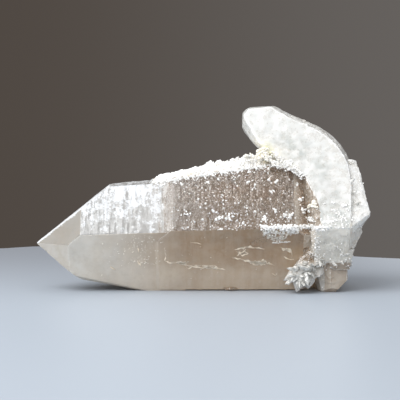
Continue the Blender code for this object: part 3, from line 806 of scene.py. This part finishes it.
def grain_shapes():
    """Two closed shapes of unit size: a rough lump, and a short six-sided crystal with two points."""
    phi = (1.0 + 5.0**0.5) / 2.0
    lump = unit(
        [(-1, phi, 0), (1, phi, 0), (-1, -phi, 0), (1, -phi, 0), (0, -1, phi), (0, 1, phi),
         (0, -1, -phi), (0, 1, -phi), (phi, 0, -1), (phi, 0, 1), (-phi, 0, -1), (-phi, 0, 1)]
    )  # fmt: skip
    hull = np.array(
        [(0, 11, 5), (0, 5, 1), (0, 1, 7), (0, 7, 10), (0, 10, 11), (1, 5, 9), (5, 11, 4),
         (11, 10, 2), (10, 7, 6), (7, 1, 8), (3, 9, 4), (3, 4, 2), (3, 2, 6), (3, 6, 8), (3, 8, 9),
         (4, 9, 5), (2, 4, 11), (6, 2, 10), (8, 6, 7), (9, 8, 1)]
    )  # fmt: skip
    angle = np.radians(60.0 * np.arange(6))
    ring = np.stack([0.62 * np.cos(angle), 0.62 * np.sin(angle)], 1)
    point = np.concatenate(
        [
            [(0.0, 0.0, -1.15)],
            np.column_stack([ring, np.full(6, -0.45)]),
            np.column_stack([ring, np.full(6, 0.45)]),
            [(0.0, 0.0, 1.15)],
        ]
    )
    sides = []
    for i in range(6):
        j = (i + 1) % 6
        sides += [
            (0, 1 + j, 1 + i),
            (1 + i, 1 + j, 7 + j),
            (1 + i, 7 + j, 7 + i),
            (7 + i, 7 + j, 13),
        ]
    return (lump, hull), (point, np.array(sides))


def grains(name, centres, sizes, seed, pointed=0.5, jitter=0.28, tint=None):
    """Joined grains, each turned and misshapen in its own way. tint is 0 for white, 1 for cream, 2 for ochre."""
    rng = np.random.default_rng(seed)
    tint = np.zeros(len(centres)) if tint is None else tint
    all_points, all_faces, all_tints, start = [], [], [], 0
    choice = rng.random(len(centres)) < pointed
    for use, (shape, hull) in zip((False, True), grain_shapes()):
        at, size = centres[choice == use], sizes[choice == use]
        if not len(at):
            continue
        n, m = len(at), len(shape)
        q = rng.normal(size=(n, 4))
        q /= np.linalg.norm(q, axis=1)[:, None]
        w, a, b, c = q.T
        turn = np.stack(
            [
                np.stack([1 - 2 * (b * b + c * c), 2 * (a * b - w * c), 2 * (a * c + w * b)], 1),
                np.stack([2 * (a * b + w * c), 1 - 2 * (a * a + c * c), 2 * (b * c - w * a)], 1),
                np.stack([2 * (a * c - w * b), 2 * (b * c + w * a), 1 - 2 * (a * a + b * b)], 1),
            ],
            1,
        )
        stretch = rng.uniform(0.65, 1.25, size=(n, 1, 3))
        rough = 1.0 + rng.uniform(-jitter, jitter, size=(n, m, 1)) * (0.5 if use else 1.0)
        local = shape[None] * stretch * rough * size[:, None, None]
        world = np.einsum("nij,nkj->nki", turn, local)
        all_points.append((world + at[:, None]).reshape(-1, 3))
        all_faces.append((hull[None] + (start + m * np.arange(n))[:, None, None]).reshape(-1, 3))
        all_tints.append(np.repeat(tint[choice == use], len(hull)))
        start += n * m
    points = np.concatenate(all_points)
    points[:, 2] = np.maximum(points[:, 2], 0.01)
    obj = make_object(name, points, np.concatenate(all_faces), smooth=False)
    add_values(obj, "tint", np.concatenate(all_tints), "FACE")
    obj.data.materials.append(bpy.data.materials.get("sugary_crust") or sugar_material())
    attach(obj, "root")
    print(f"{name}: {len(obj.data.polygons)} triangles")
    return obj


def scatter(points, faces, count, seed):
    """Random points over these triangles, evenly by area, with each one's normal."""
    rng = np.random.default_rng(seed)
    normals, areas = face_normals(points, faces)
    which = rng.choice(len(faces), size=count, p=areas / areas.sum())
    u, v = rng.random(count), rng.random(count)
    over = u + v > 1
    u[over], v[over] = 1 - u[over], 1 - v[over]
    a, b, c = (points[faces[which, i]] for i in range(3))
    return a + u[:, None] * (b - a) + v[:, None] * (c - a), normals[which]


# ---------------------------------------------------------------- build


def build_crystal():
    points, faces, tags = fine_mesh()
    values = crystal_values(points, faces, tags)
    moved, edge = weather(points, faces, tags)
    # Convex edges are painted white: partly worn edges, and along the left tip's top rim a painted highlight at full
    # strength.
    highlit_rim = to_vertices(points, faces, is_face(tags, "left_top").astype(float)) > 0.0
    group = ((tags == OTHER) & ~unnamed_prism(points, faces, tags)) | is_face(tags, *SIDE_GROUP)
    grown = to_vertices(points, faces, group.astype(float)) > 0.5
    steps = to_vertices(points, faces, is_face(tags, "step_up", "step_low").astype(float)) > 0.0
    edge = edge * np.where(highlit_rim, 1.0, np.where(grown, 0.75, np.where(steps, 0.0, 0.30)))
    edge *= ramp(points[:, 2], 1.0, 3.0)
    obj = make_object("quartz_body", moved, faces)
    for name, numbers in values.items():
        add_values(obj, name, numbers, "FACE")
    add_values(obj, "edge", edge, "POINT")
    obj.data.set_sharp_from_angle(angle=math.radians(24.0))
    obj.data.materials.append(quartz_material())
    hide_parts(CAD_NODE)
    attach(obj, "root")
    print(f"quartz_body: {len(faces)} triangles")
    return moved, faces, tags


def on_face(name, x, z):
    """Points of a crystal face at these x and z, and its normal."""
    normal, point = FACES[name]
    normal = unit(normal)
    x, z = np.broadcast_arrays(np.asarray(x, float), np.asarray(z, float))
    y = point[1] - (normal[0] * (x - point[0]) + normal[2] * (z - point[2])) / normal[1]
    return np.stack([x, y, z], -1), normal


class Surface:
    """The weathered crystal, for setting small pieces on it."""

    def __init__(self, points, faces):
        self.tree = BVHTree.FromPolygons(points.tolist(), faces.tolist())

    def front(self, x, z):
        """Where a line going back from in front first meets the crystal, the facing there, and which of them do."""
        at, facing = np.zeros((len(x), 3)), np.zeros((len(x), 3))
        met = np.zeros(len(x), bool)
        for i, (px, pz) in enumerate(zip(x, z)):
            place, normal, _, _ = self.tree.ray_cast(Vector((px, -60.0, pz)), Vector((0.0, 1.0, 0.0)))
            if place is not None:
                at[i], facing[i], met[i] = place, normal, True
        return at, facing, met


def build_crust(points, faces, tags, surface):
    """The sugary crust along the top, hanging a little way down the front."""
    rng = np.random.default_rng(7)
    on = faces[tags == CRUST]
    at, normals = scatter(points, on, 5200, 101)
    size = 0.20 + 0.42 * rng.random(len(at)) ** 2.4
    tint = 0.8 * ramp(layered(at * 0.35, 51, 2), 0.55, 0.75)
    tint += 1.2 * ramp(at[:, 0], 14.0, 19.0)
    places, sizes, tints = [at + normals * 0.10], [size], [tint]
    # Over the top edge of the front face.
    n = 950
    x = rng.uniform(-11.0, 25.2, n)
    down = rng.exponential(0.46, n) * (0.55 + 0.9 * layered(np.stack([x * 0.6, x * 0, x * 0], 1), 77, 2))
    at, facing, met = surface.front(x, top_height(x) + 0.2 - down)
    keep = met & (down < 4.2) & (at[:, 0] > -12.5 + 0.5 * down)
    size = (0.15 + 0.30 * rng.random(n) ** 2.4) * (1.0 - 0.10 * down)
    places.append((at + facing * 0.05)[keep])
    sizes.append(size[keep])
    tints.append(0.3 * rng.random(keep.sum()))
    grains(
        "crust_grains", np.concatenate(places), np.concatenate(sizes), 11, pointed=0.45,
        tint=np.clip(np.concatenate(tints), 0.0, 1.6),
    )  # fmt: skip


def build_face_grains(surface):
    """Sugar grains on the upper front face, thick toward its lower edge and in a few clumps."""
    rng = np.random.default_rng(23)
    places, sizes, tints = [], [], []

    def add(x, z, size, lift=0.03, tint=0.3):
        at, facing, met = surface.front(x, z)
        lift = np.broadcast_to(lift, x.shape)[:, None]
        places.append((at + facing * lift)[met])
        sizes.append(size[met])
        tints.append((np.full(len(x), tint) if tint < 0 else tint * rng.random(len(x)))[met])

    n = 1700
    x, z = rng.uniform(-9.0, 25.2, n), rng.uniform(17.6, 35.0, n)
    below = top_height(x) - z
    likely = 0.14 + 0.62 * np.exp(-(z - 17.6) / 2.2) + 0.22 * np.exp(-below / 1.4)
    likely *= 0.35 + 1.3 * ramp(layered(np.stack([x * 0.5, z * 0.5, x * 0], 1), 91, 2), 0.35, 0.7)
    likely *= 0.45 + 0.55 * ramp(x, -8.0, 4.0)
    keep = (below > 0.2) & (rng.random(n) < likely)
    add(x[keep], z[keep], 0.09 + 0.27 * rng.random(keep.sum()) ** 3)

    for x, z, across, high, count in (
        (7.8, 21.3, 1.7, 1.1, 20), (5.2, 20.6, 1.0, 0.7, 9), (24.0, 21.2, 1.9, 1.1, 26), (20.4, 22.4, 0.9, 0.9, 8),
        (17.2, 20.6, 1.0, 0.9, 8), (11.6, 19.2, 1.3, 0.7, 8), (2.9, 22.5, 0.8, 0.6, 4), (-0.5, 25.5, 0.8, 0.6, 4),
        (19.6, 27.6, 0.9, 0.5, 5), (18.8, 30.4, 0.7, 0.4, 4), (6.4, 26.3, 0.7, 0.9, 4), (13.2, 30.0, 0.8, 0.4, 4),
        (21.0, 30.0, 0.7, 0.6, 4), (9.2, 31.0, 0.9, 0.5, 5), (1.8, 29.5, 0.8, 0.6, 4), (-4.0, 21.5, 0.9, 0.7, 5),
        (26.6, 29.5, 0.4, 0.5, 4), (27.2, 25.6, 0.6, 0.9, 8), (28.4, 22.4, 1.3, 0.7, 14), (30.2, 20.3, 1.6, 0.8, 20),
    ):  # fmt: skip
        px, pz = x + across * rng.normal(size=count) * 0.5, z + high * rng.normal(size=count) * 0.5
        add(px, pz, rng.uniform(0.16, 0.42, count), rng.uniform(0.0, 0.3, count))
    # A ridge of grains along the lower edge of the face, and a glassy mass hanging below it.
    n = 300
    add(rng.uniform(16.0, 34.6, n), 18.25 + rng.normal(size=n) * 0.28, rng.uniform(0.16, 0.44, n), rng.uniform(0.0, 0.35, n), 0.1)
    n = 300
    x = rng.uniform(17.0, 26.5, n)
    hang = 16.9 - 2.6 * np.exp(-(((x - 20.8) / 3.4) ** 2))
    z = rng.random(n) * (17.6 - hang) + hang
    clear = rng.random(n) < 0.88 - 0.45 * ramp(z, 16.0, 17.4)
    add(x[clear], z[clear], rng.uniform(0.20, 0.44, clear.sum()), -0.10, -1.0)
    add(x[~clear], z[~clear], rng.uniform(0.12, 0.28, (~clear).sum()), 0.12)
    n = 46
    x = rng.uniform(19.6, 24.4, n)
    add(x, 14.1 + 0.05 * (x - 22.0) + rng.normal(size=n) * 0.10, rng.uniform(0.12, 0.24, n), 0.02)
    # Sugar filling the corner under the curved crystal.
    n = 330
    along = rng.random(n)
    add(19.2 + 8.2 * along, 37.4 - 4.7 * along + rng.normal(size=n) * 0.40, rng.uniform(0.13, 0.34, n), 0.10, 0.6)
    # The cream nugget beside the curved crystal.
    n = 18
    add(30.5 + rng.normal(size=n) * 0.62, 24.0 + rng.normal(size=n) * 0.36, rng.uniform(0.40, 0.66, n), 0.25, -9.0)
    tints[-1] = np.full(len(tints[-1]), 0.95)
    # Grains where the side crystal meets the lower face.
    n = 90
    z = rng.uniform(8.5, 17.5, n)
    add(31.0 + 0.6 * rng.normal(size=n) + 0.10 * (17.0 - z), z, rng.uniform(0.10, 0.30, n), 0.02)
    grains("face_grains", np.concatenate(places), np.concatenate(sizes), 29, pointed=0.35, tint=np.concatenate(tints))


def shard(base, way, length, radius, turn, seed):
    """A small six-sided crystal with a slanted point: closed, from base outward along way."""
    rng = np.random.default_rng(seed)
    way = unit(way)
    side = unit(np.cross(way, (0.31, 0.52, 0.80)))
    other = np.cross(way, side)
    angle = np.radians(60.0 * np.arange(6) + turn)
    flat = np.array((1.0, rng.uniform(0.45, 0.8)))
    ring = np.stack([np.cos(angle), np.sin(angle)], 1) * rng.uniform(0.85, 1.15, (6, 1)) * flat * radius
    ring = ring[:, :1] * side + ring[:, 1:] * other
    shoulder = length * rng.uniform(0.52, 0.72, (6, 1))
    tip = base + way * length + 0.35 * radius * (side * rng.normal() + other * rng.normal())
    points = np.concatenate([base + ring * 0.85, base + ring + way * shoulder, [tip], [base]])
    faces = []
    for i in range(6):
        j = (i + 1) % 6
        faces += [(i, j, 6 + j), (i, 6 + j, 6 + i), (6 + i, 6 + j, 12), (j, i, 13)]
    return points, np.array(faces)


def build_shards(surface):
    """Small crystals grown at the foot of the side group, and round the shoulder."""
    rng = np.random.default_rng(83)
    rows = (
        # x, z of the base, the way it points, length, radius
        (25.6, 6.6, (-0.75, -0.55, 0.30), 3.0, 0.75), (27.0, 7.4, (-0.45, -0.70, 0.50), 2.0, 0.60),
        (24.6, 3.9, (-0.60, -0.60, -0.50), 2.6, 0.70), (27.0, 3.6, (0.10, -0.75, -0.60), 2.6, 0.66),
        (29.2, 6.0, (0.35, -0.80, -0.30), 2.2, 0.60), (30.4, 7.8, (-0.20, -0.85, 0.35), 1.8, 0.60),
        (28.6, 8.0, (-0.60, -0.75, 0.10), 2.0, 0.50), (32.6, 8.6, (0.15, -0.85, -0.45), 2.4, 0.72),
        (36.4, 8.2, (0.40, -0.75, -0.50), 1.6, 0.60), (31.6, 4.8, (-0.55, -0.75, -0.35), 1.9, 0.50),
        (29.6, 3.2, (-0.15, -0.85, -0.50), 1.9, 0.48), (33.4, 9.2, (-0.70, -0.60, 0.10), 1.4, 0.44),
        (26.4, 5.2, (-0.80, -0.60, 0.05), 2.1, 0.46), (39.4, 10.8, (0.65, -0.70, 0.20), 1.8, 0.50),
        (41.2, 27.2, (0.75, -0.50, 0.30), 1.6, 0.50), (42.2, 24.4, (0.70, -0.60, 0.25), 1.6, 0.52),
        (41.0, 30.4, (0.70, -0.45, 0.50), 1.5, 0.46), (25.0, 5.4, (-0.80, -0.50, -0.10), 1.7, 0.80),
        (26.0, 7.0, (-0.70, -0.60, 0.30), 1.6, 0.80), (27.8, 5.0, (-0.30, -0.90, -0.20), 1.4, 0.90),
        (26.0, 4.6, (-0.50, -0.80, -0.40), 1.6, 0.80), (28.6, 8.4, (-0.50, -0.75, 0.40), 1.3, 0.75),
        (27.6, 7.2, (-0.40, -0.85, 0.25), 1.3, 0.90), (29.4, 7.4, (0.10, -0.90, 0.30), 1.3, 0.80),
        (28.0, 3.0, (0.05, -0.80, -0.60), 1.5, 0.75), (30.6, 6.8, (0.45, -0.85, 0.10), 1.3, 0.75),
        (25.2, 2.9, (-0.60, -0.60, -0.55), 1.5, 0.70), (29.2, 4.4, (0.20, -0.90, -0.30), 1.3, 0.75),
        (31.8, 7.6, (0.30, -0.90, 0.20), 1.2, 0.70), (33.6, 8.2, (-0.10, -0.85, -0.45), 1.5, 0.75),
        (38.6, 8.6, (0.35, -0.75, -0.50), 1.3, 0.60),
        (26.7, 5.0, (-0.80, -0.38, -0.36), 3.9, 1.25), (27.2, 3.9, (-0.42, -0.42, -0.80), 3.1, 1.15),
        (28.8, 5.4, (0.04, -0.42, -0.90), 3.6, 0.95), (28.8, 7.0, (-0.85, -0.42, 0.32), 2.6, 0.95),
        (30.0, 5.6, (0.50, -0.60, -0.60), 2.4, 0.90),
    )  # fmt: skip
    x, z = np.array([row[0] for row in rows]), np.array([row[1] for row in rows])
    at, _, met = surface.front(x, z)
    all_points, all_faces, start = [], [], 0
    for k, (row, base, ok) in enumerate(zip(rows, at, met)):
        if not ok:
            continue
        way = unit(row[2])
        points, faces = shard(base - way * 0.9, way, row[3] + 0.9, row[4], rng.uniform(0, 60), 300 + k)
        points[:, 2] = np.maximum(points[:, 2], 0.02)
        all_points.append(points)
        all_faces.append(faces + start)
        start += len(points)
    obj = make_object("shards", np.concatenate(all_points), np.concatenate(all_faces), smooth=False)
    s = Shader("milky_shards")
    mottle = s.noise(0.9, 3.0, 0.6)
    s.set(base_color=s.blend(s.range(mottle, 0.35, 0.65), (0.87, 0.85, 0.80), (0.72, 0.70, 0.65)), ior=IOR)
    s.set(transmission_weight=s.range(mottle, 0.35, 0.65, 0.20, 0.54), roughness=0.20)
    s.bump(mottle, 0.25, 0.2)
    obj.data.materials.append(s.material)
    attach(obj, "root")
    print(f"shards: {len(obj.data.polygons)} triangles")


def build_small_pieces(points, faces, tags):
    """The stained grains below the curved crystal, and grains among the side crystals."""
    rng = np.random.default_rng(41)
    places, sizes, tints = [], [], []
    n = 420
    spine = np.array([(17.6, -5.6, 38.9), (18.0, -6.3, 37.6), (18.9, -7.2, 36.2), (20.7, -7.9, 35.0), (23.7, -8.4, 34.1), (26.1, -9.1, 32.9), (28.0, -10.0, 31.3)])
    along = rng.random(n) ** 1.4 * (len(spine) - 1.001)
    low = along.astype(int)
    at = spine[low] + (spine[low + 1] - spine[low]) * (along - low)[:, None]
    places.append(at + rng.normal(size=(n, 3)) * (0.45, 0.25, 0.45))
    sizes.append(rng.uniform(0.15, 0.40, n) * (1.15 - 0.08 * along))
    tints.append(np.clip(1.1 - 0.25 * along + 0.25 * rng.normal(size=n), 0.0, 1.5))

    for at, count in (((12.6, -5.2, 36.7), 22), ((13.8, -5.0, 37.0), 26)):
        places.append(np.array(at) + rng.normal(size=(count, 3)) * (0.42, 0.50, 0.28))
        sizes.append(rng.uniform(0.20, 0.44, count))
        tints.append(rng.uniform(0.3, 0.9, count))

    group = (tags == OTHER) | is_face(tags, *SIDE_GROUP)
    c = points[faces].mean(axis=1)
    x, y, z = c.T
    normals, _ = face_normals(points, faces)
    for where, count, small, large, seed in (
        (group & (x > 40.0) & (z > 17.0) & (z < 34.0) & (y < 6.0), 230, 0.12, 0.36, 3),
        (group & (x > 17.5) & (x < 37.0) & (z < 11.5) & (z > 1.0) & (y < -5.0), 70, 0.10, 0.26, 5),
        (group & (x > 33.0) & (x < 44.0) & (z < 14.0) & (z > 6.5) & (y < -5.0), 90, 0.12, 0.34, 7),
        (is_face(tags, "horn_front") & (z < 25.0) & (x > 31.0), 190, 0.14, 0.40, 9),
        (group & (x > 28.0) & (y > 2.0) & (z > 4.0) & (z < 30.0), 500, 0.18, 0.55, 13),
    ):
        at, facing = scatter(points, faces[where], count, seed)
        clumped = layered(at * 0.5, 57 + seed, 2) > 0.44
        at, facing = at[clumped], facing[clumped]
        places.append(at + facing * 0.03)
        sizes.append(rng.uniform(small, large, len(at)))
        tints.append(0.25 * rng.random(len(at)))
    grains("side_grains", np.concatenate(places), np.concatenate(sizes), 47, pointed=0.5, tint=np.concatenate(tints))


def flake(points_list, name, path, depth, wide, seed):
    """One thin, ragged veil that runs into the stone from the lower front face. path is x, z pairs."""
    rng = np.random.default_rng(seed)
    path = np.asarray(path, float)
    step = np.linalg.norm(np.diff(path, axis=0), axis=1)
    n = max(6, int(step.sum() / 0.20))

    def wander(size):
        raw = rng.normal(size=n + 6)
        return size * np.convolve(raw, np.hanning(7) / 1.7, mode="valid")

    far = np.concatenate([[0.0], np.cumsum(step)])
    t = np.linspace(0.0, far[-1], n)
    x, z = np.interp(t, far, path[:, 0]), np.interp(t, far, path[:, 1])
    run = unit(np.stack([np.gradient(x), np.gradient(z)], 1))
    width = wide * np.clip(0.62 + wander(0.5), 0.2, 1.3) * np.sin(np.pi * (t / far[-1] * 0.96 + 0.02)) ** 0.7
    shift = wander(0.22 * wide)
    rows = []
    for side in (-0.5, 0.5):
        sx, sz = x - run[:, 1] * (side * width + shift), z + run[:, 0] * (side * width + shift)
        base, normal = on_face("later_low", sx, sz)
        for lift in (-0.05, depth * 0.4):
            rows.append(base + lift * np.array((0.0, 0.993, 0.12)))
    ring = np.stack([rows[0], rows[2], rows[3], rows[1]], 1)
    start = sum(len(p) for p, _ in points_list)
    faces = []
    for i in range(n - 1):
        for k in range(4):
            a, b = 4 * i + k, 4 * i + (k + 1) % 4
            faces += [(a, b, b + 4), (a, b + 4, a + 4)]
    last = 4 * (n - 1)
    faces += [(0, 2, 1), (0, 3, 2), (last, last + 1, last + 2), (last, last + 2, last + 3)]
    points_list.append((ring.reshape(-1, 3), np.array(faces) + start))


def build_inclusions():
    """Pale veils and specks sealed in the lower half of the large crystal."""
    made = []
    for k, (path, depth, wide) in enumerate((
        (((-9.6, 12.6), (-9.3, 10.6), (-9.5, 8.7), (-8.2, 8.2), (-5.5, 8.1), (-3.1, 8.3)), 1.3, 0.34),
        (((-6.6, 8.25), (-4.6, 8.15), (-3.0, 8.3)), 1.4, 0.78),
        (((-4.6, 7.7), (-1.2, 6.9), (2.6, 6.7), (7.0, 6.2)), 1.8, 0.46),
        (((-1.6, 7.5), (1.4, 7.3), (4.6, 7.2)), 1.7, 0.34),
        (((-4.4, 8.0), (-3.2, 6.5), (-1.8, 7.2)), 1.6, 0.30),
        (((9.4, 12.0), (12.2, 12.6), (15.2, 12.5), (17.6, 12.2)), 1.2, 0.50),
        (((9.8, 11.8), (11.4, 10.2), (13.0, 10.9), (11.6, 12.2)), 1.3, 0.34),
        (((8.6, 9.6), (11.0, 9.2), (14.0, 8.3), (17.0, 8.0), (20.4, 7.6)), 1.6, 0.52),
        (((13.4, 8.6), (16.0, 8.1), (19.4, 7.9)), 1.5, 1.00),
        (((21.6, 12.6), (23.4, 12.3), (24.8, 11.3), (25.2, 9.8)), 1.0, 0.64),
        (((22.8, 10.0), (24.4, 9.0), (25.6, 9.2)), 1.2, 0.42),
        (((19.6, 4.9), (20.6, 4.4), (21.2, 5.0)), 1.0, 0.42),
        (((-16.9, 12.6), (-16.6, 11.2)), 1.0, 0.30),
        (((-17.0, 8.6), (-16.2, 7.0)), 1.0, 0.46),
        (((-24.6, 6.9), (-23.2, 6.2)), 1.1, 0.30),
        (((-2.6, 14.2), (0.4, 13.6)), 2.0, 0.24),
        (((13.6, 8.5), (15.4, 8.2), (18.8, 7.9)), 1.2, 1.30),
        (((-6.2, 8.3), (-4.6, 8.15), (-3.2, 8.3)), 1.2, 1.05),
        (((11.0, 12.3), (13.6, 12.9), (16.2, 12.5)), 1.0, 0.80),
        (((10.0, 10.4), (11.4, 11.2), (12.6, 11.9)), 1.0, 0.90),
        (((22.2, 12.4), (23.8, 11.9), (24.8, 10.8)), 1.0, 0.90),
        (((0.6, 7.1), (2.4, 6.8), (5.2, 6.6)), 1.2, 0.66),
    )):  # fmt: skip
        flake(made, "veil", path, depth, wide, 200 + k)
    obj = make_object("veils", np.concatenate([p for p, _ in made]), np.concatenate([f for _, f in made]), smooth=False)
    s = Shader("milky_quartz")
    fine = s.noise(1.6, 3.0, 0.6)
    s.set(base_color=s.blend(s.range(fine, 0.35, 0.65), (0.88, 0.77, 0.62), (0.68, 0.56, 0.42)), roughness=0.5, ior=IOR)
    s.set(subsurface_weight=0.5, subsurface_radius=(1.0, 1.0, 1.0), subsurface_scale=0.0005)
    obj.data.materials.append(s.material)
    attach(obj, "root")

    rng = np.random.default_rng(71)
    n, more = 170, 190
    x = np.concatenate([rng.uniform(-27.0, 27.0, n), rng.normal(-15.5, 3.6, more)])
    z = np.concatenate([rng.uniform(3.0, 15.5, n), rng.uniform(7.5, 16.6, more)])
    at, _ = on_face("later_low", x, z)
    keep = layered(at * 0.30, 99, 2) > 0.45
    at = at[keep] + rng.uniform(-0.02, 0.25, keep.sum())[:, None] * np.array((0.0, 0.993, 0.12))
    grains("sealed_specks", at, 0.05 + 0.13 * rng.random(len(at)) ** 3, 73, pointed=0.2, tint=np.full(len(at), 0.6))


def stage_and_light():
    floor_mesh = bpy.data.meshes.new("floor")
    far_edge = [(2.0, 0.045), (0.0639, 0.0703), (0.0555, 0.0734), (0.030, 0.087), (-0.020, 0.104), (-0.0583, 0.1067), (-0.0686, 0.1003), (-2.0, 0.095)]
    corners = [(-2.0, -2.5, 0.0), (2.0, -2.5, 0.0)] + [(x, y, 0.0) for x, y in far_edge]
    floor_mesh.from_pydata(corners, [], [tuple(range(len(corners)))])
    floor = bpy.data.objects.new("floor", floor_mesh)
    bpy.context.scene.collection.objects.link(floor)
    s = Shader("floor")
    split = s.tree.nodes.new("ShaderNodeSeparateXYZ")
    s.link(s.place, split.inputs[0])
    # Painted light and shade on the floor: it darkens toward the far edge, and toward the far right it turns lighter
    # instead.
    far = s.range(split.outputs["Y"], -50.0, 105.0)
    far_floor_light_and_shade = s.blend(s.range(split.outputs["X"], 25.0, 75.0), (0.27, 0.288, 0.318), (0.44, 0.47, 0.51))
    s.set(base_color=s.blend(far, (0.405, 0.447, 0.498), far_floor_light_and_shade), roughness=0.42)
    floor_mesh.materials.append(s.material)

    world = bpy.data.worlds.new("studio")
    bpy.context.scene.world = world
    world.use_nodes = True
    tree = world.node_tree
    tree.nodes.clear()
    out = tree.nodes.new("ShaderNodeOutputWorld")
    glow = tree.nodes.new("ShaderNodeBackground")
    tree.links.new(glow.outputs[0], out.inputs[0])
    where = tree.nodes.new("ShaderNodeTexCoord")
    part = tree.nodes.new("ShaderNodeSeparateXYZ")
    tree.links.new(where.outputs["Generated"], part.inputs[0])

    def height_ramp(stops):
        scaled = tree.nodes.new("ShaderNodeMapRange")
        scaled.inputs["From Min"].default_value = -1.0
        tree.links.new(part.outputs["Z"], scaled.inputs["Value"])
        node = tree.nodes.new("ShaderNodeValToRGB")
        node.color_ramp.interpolation = "EASE"
        tree.links.new(scaled.outputs[0], node.inputs[0])
        marks = node.color_ramp.elements
        for degrees, colour in stops:
            at = (math.sin(math.radians(degrees)) + 1.0) / 2.0
            mark = marks.new(at)
            mark.color = (*colour, 1.0)
        marks.remove(marks[0])
        marks.remove(marks[len(marks) - 1])
        return node.outputs[0]

    def mix(amount, first, second):
        node = tree.nodes.new("ShaderNodeMix")
        node.data_type = "RGBA"
        tree.links.new(amount, node.inputs[0])
        tree.links.new(first, node.inputs[6])
        tree.links.new(second, node.inputs[7])
        return node.outputs[2]

    def smooth(socket, low, high):
        node = tree.nodes.new("ShaderNodeMapRange")
        node.interpolation_type = "SMOOTHSTEP"
        node.inputs["From Min"].default_value = low
        node.inputs["From Max"].default_value = high
        tree.links.new(socket, node.inputs["Value"])
        return node.outputs[0]

    pale, under = (0.62, 0.67, 0.74), (0.62, 0.66, 0.72)
    sky, front = (1.36, 1.39, 1.44), (1.28, 1.30, 1.34)
    dark_left, dark_right = (0.080, 0.066, 0.056), (0.133, 0.122, 0.114)

    def wall(dark):
        return height_ramp(((-89, pale), (-15, pale), (-9, dark), (16, dark), (30, (0.24, 0.23, 0.22)), (55, (0.60, 0.60, 0.61)), (80, sky), (89, sky)))

    room = height_ramp(((-89, pale), (-10, under), (4, front), (30, front), (60, sky), (89, sky)))
    room_right = height_ramp(((-89, pale), (-10, under), (4, (0.40, 0.40, 0.41)), (35, (0.42, 0.42, 0.43)), (75, sky), (89, sky)))
    behind = mix(smooth(part.outputs["X"], -0.14, 0.16), wall(dark_left), wall(dark_right))
    before = mix(smooth(part.outputs["X"], 0.25, 0.9), room, room_right)
    around = mix(smooth(part.outputs["Y"], -0.35, 0.25), before, behind)
    tree.links.new(around, glow.inputs["Color"])
    glow.inputs["Strength"].default_value = 1.0

    lamp = bpy.data.lights.new("softbox", "AREA")
    lamp.shape = "RECTANGLE"
    lamp.size, lamp.size_y = 0.40, 0.40
    lamp.energy = 2.9
    lamp.color = (0.96, 0.98, 1.0)
    light = bpy.data.objects.new("softbox", lamp)
    bpy.context.scene.collection.objects.link(light)
    light.location = (-0.26, -0.26, 0.40)
    aim = Vector((0.0, 0.0, 0.015)) - light.location
    light.rotation_euler = aim.to_track_quat("-Z", "Y").to_euler()


def add_camera():
    lens = bpy.data.cameras.new("camera")
    lens.lens, lens.sensor_width = 145.98, 36.0
    lens.clip_start, lens.clip_end = 0.01, 20.0
    camera = bpy.data.objects.new("camera", lens)
    camera.location = (SHIFT[0] * MM, -0.450080, 0.060)
    camera.rotation_euler = (math.radians(90.0 - 4.51), 0.0, 0.0)
    bpy.context.scene.collection.objects.link(camera)
    bpy.context.scene.camera = camera


add_camera()
stage_and_light()
body_points, body_faces, body_tags = build_crystal()
body_surface = Surface(body_points, body_faces)
build_crust(body_points, body_faces, body_tags, body_surface)
build_face_grains(body_surface)
build_shards(body_surface)
build_small_pieces(body_points, body_faces, body_tags)
build_inclusions()

bpy.context.scene.view_settings.view_transform = "Standard"
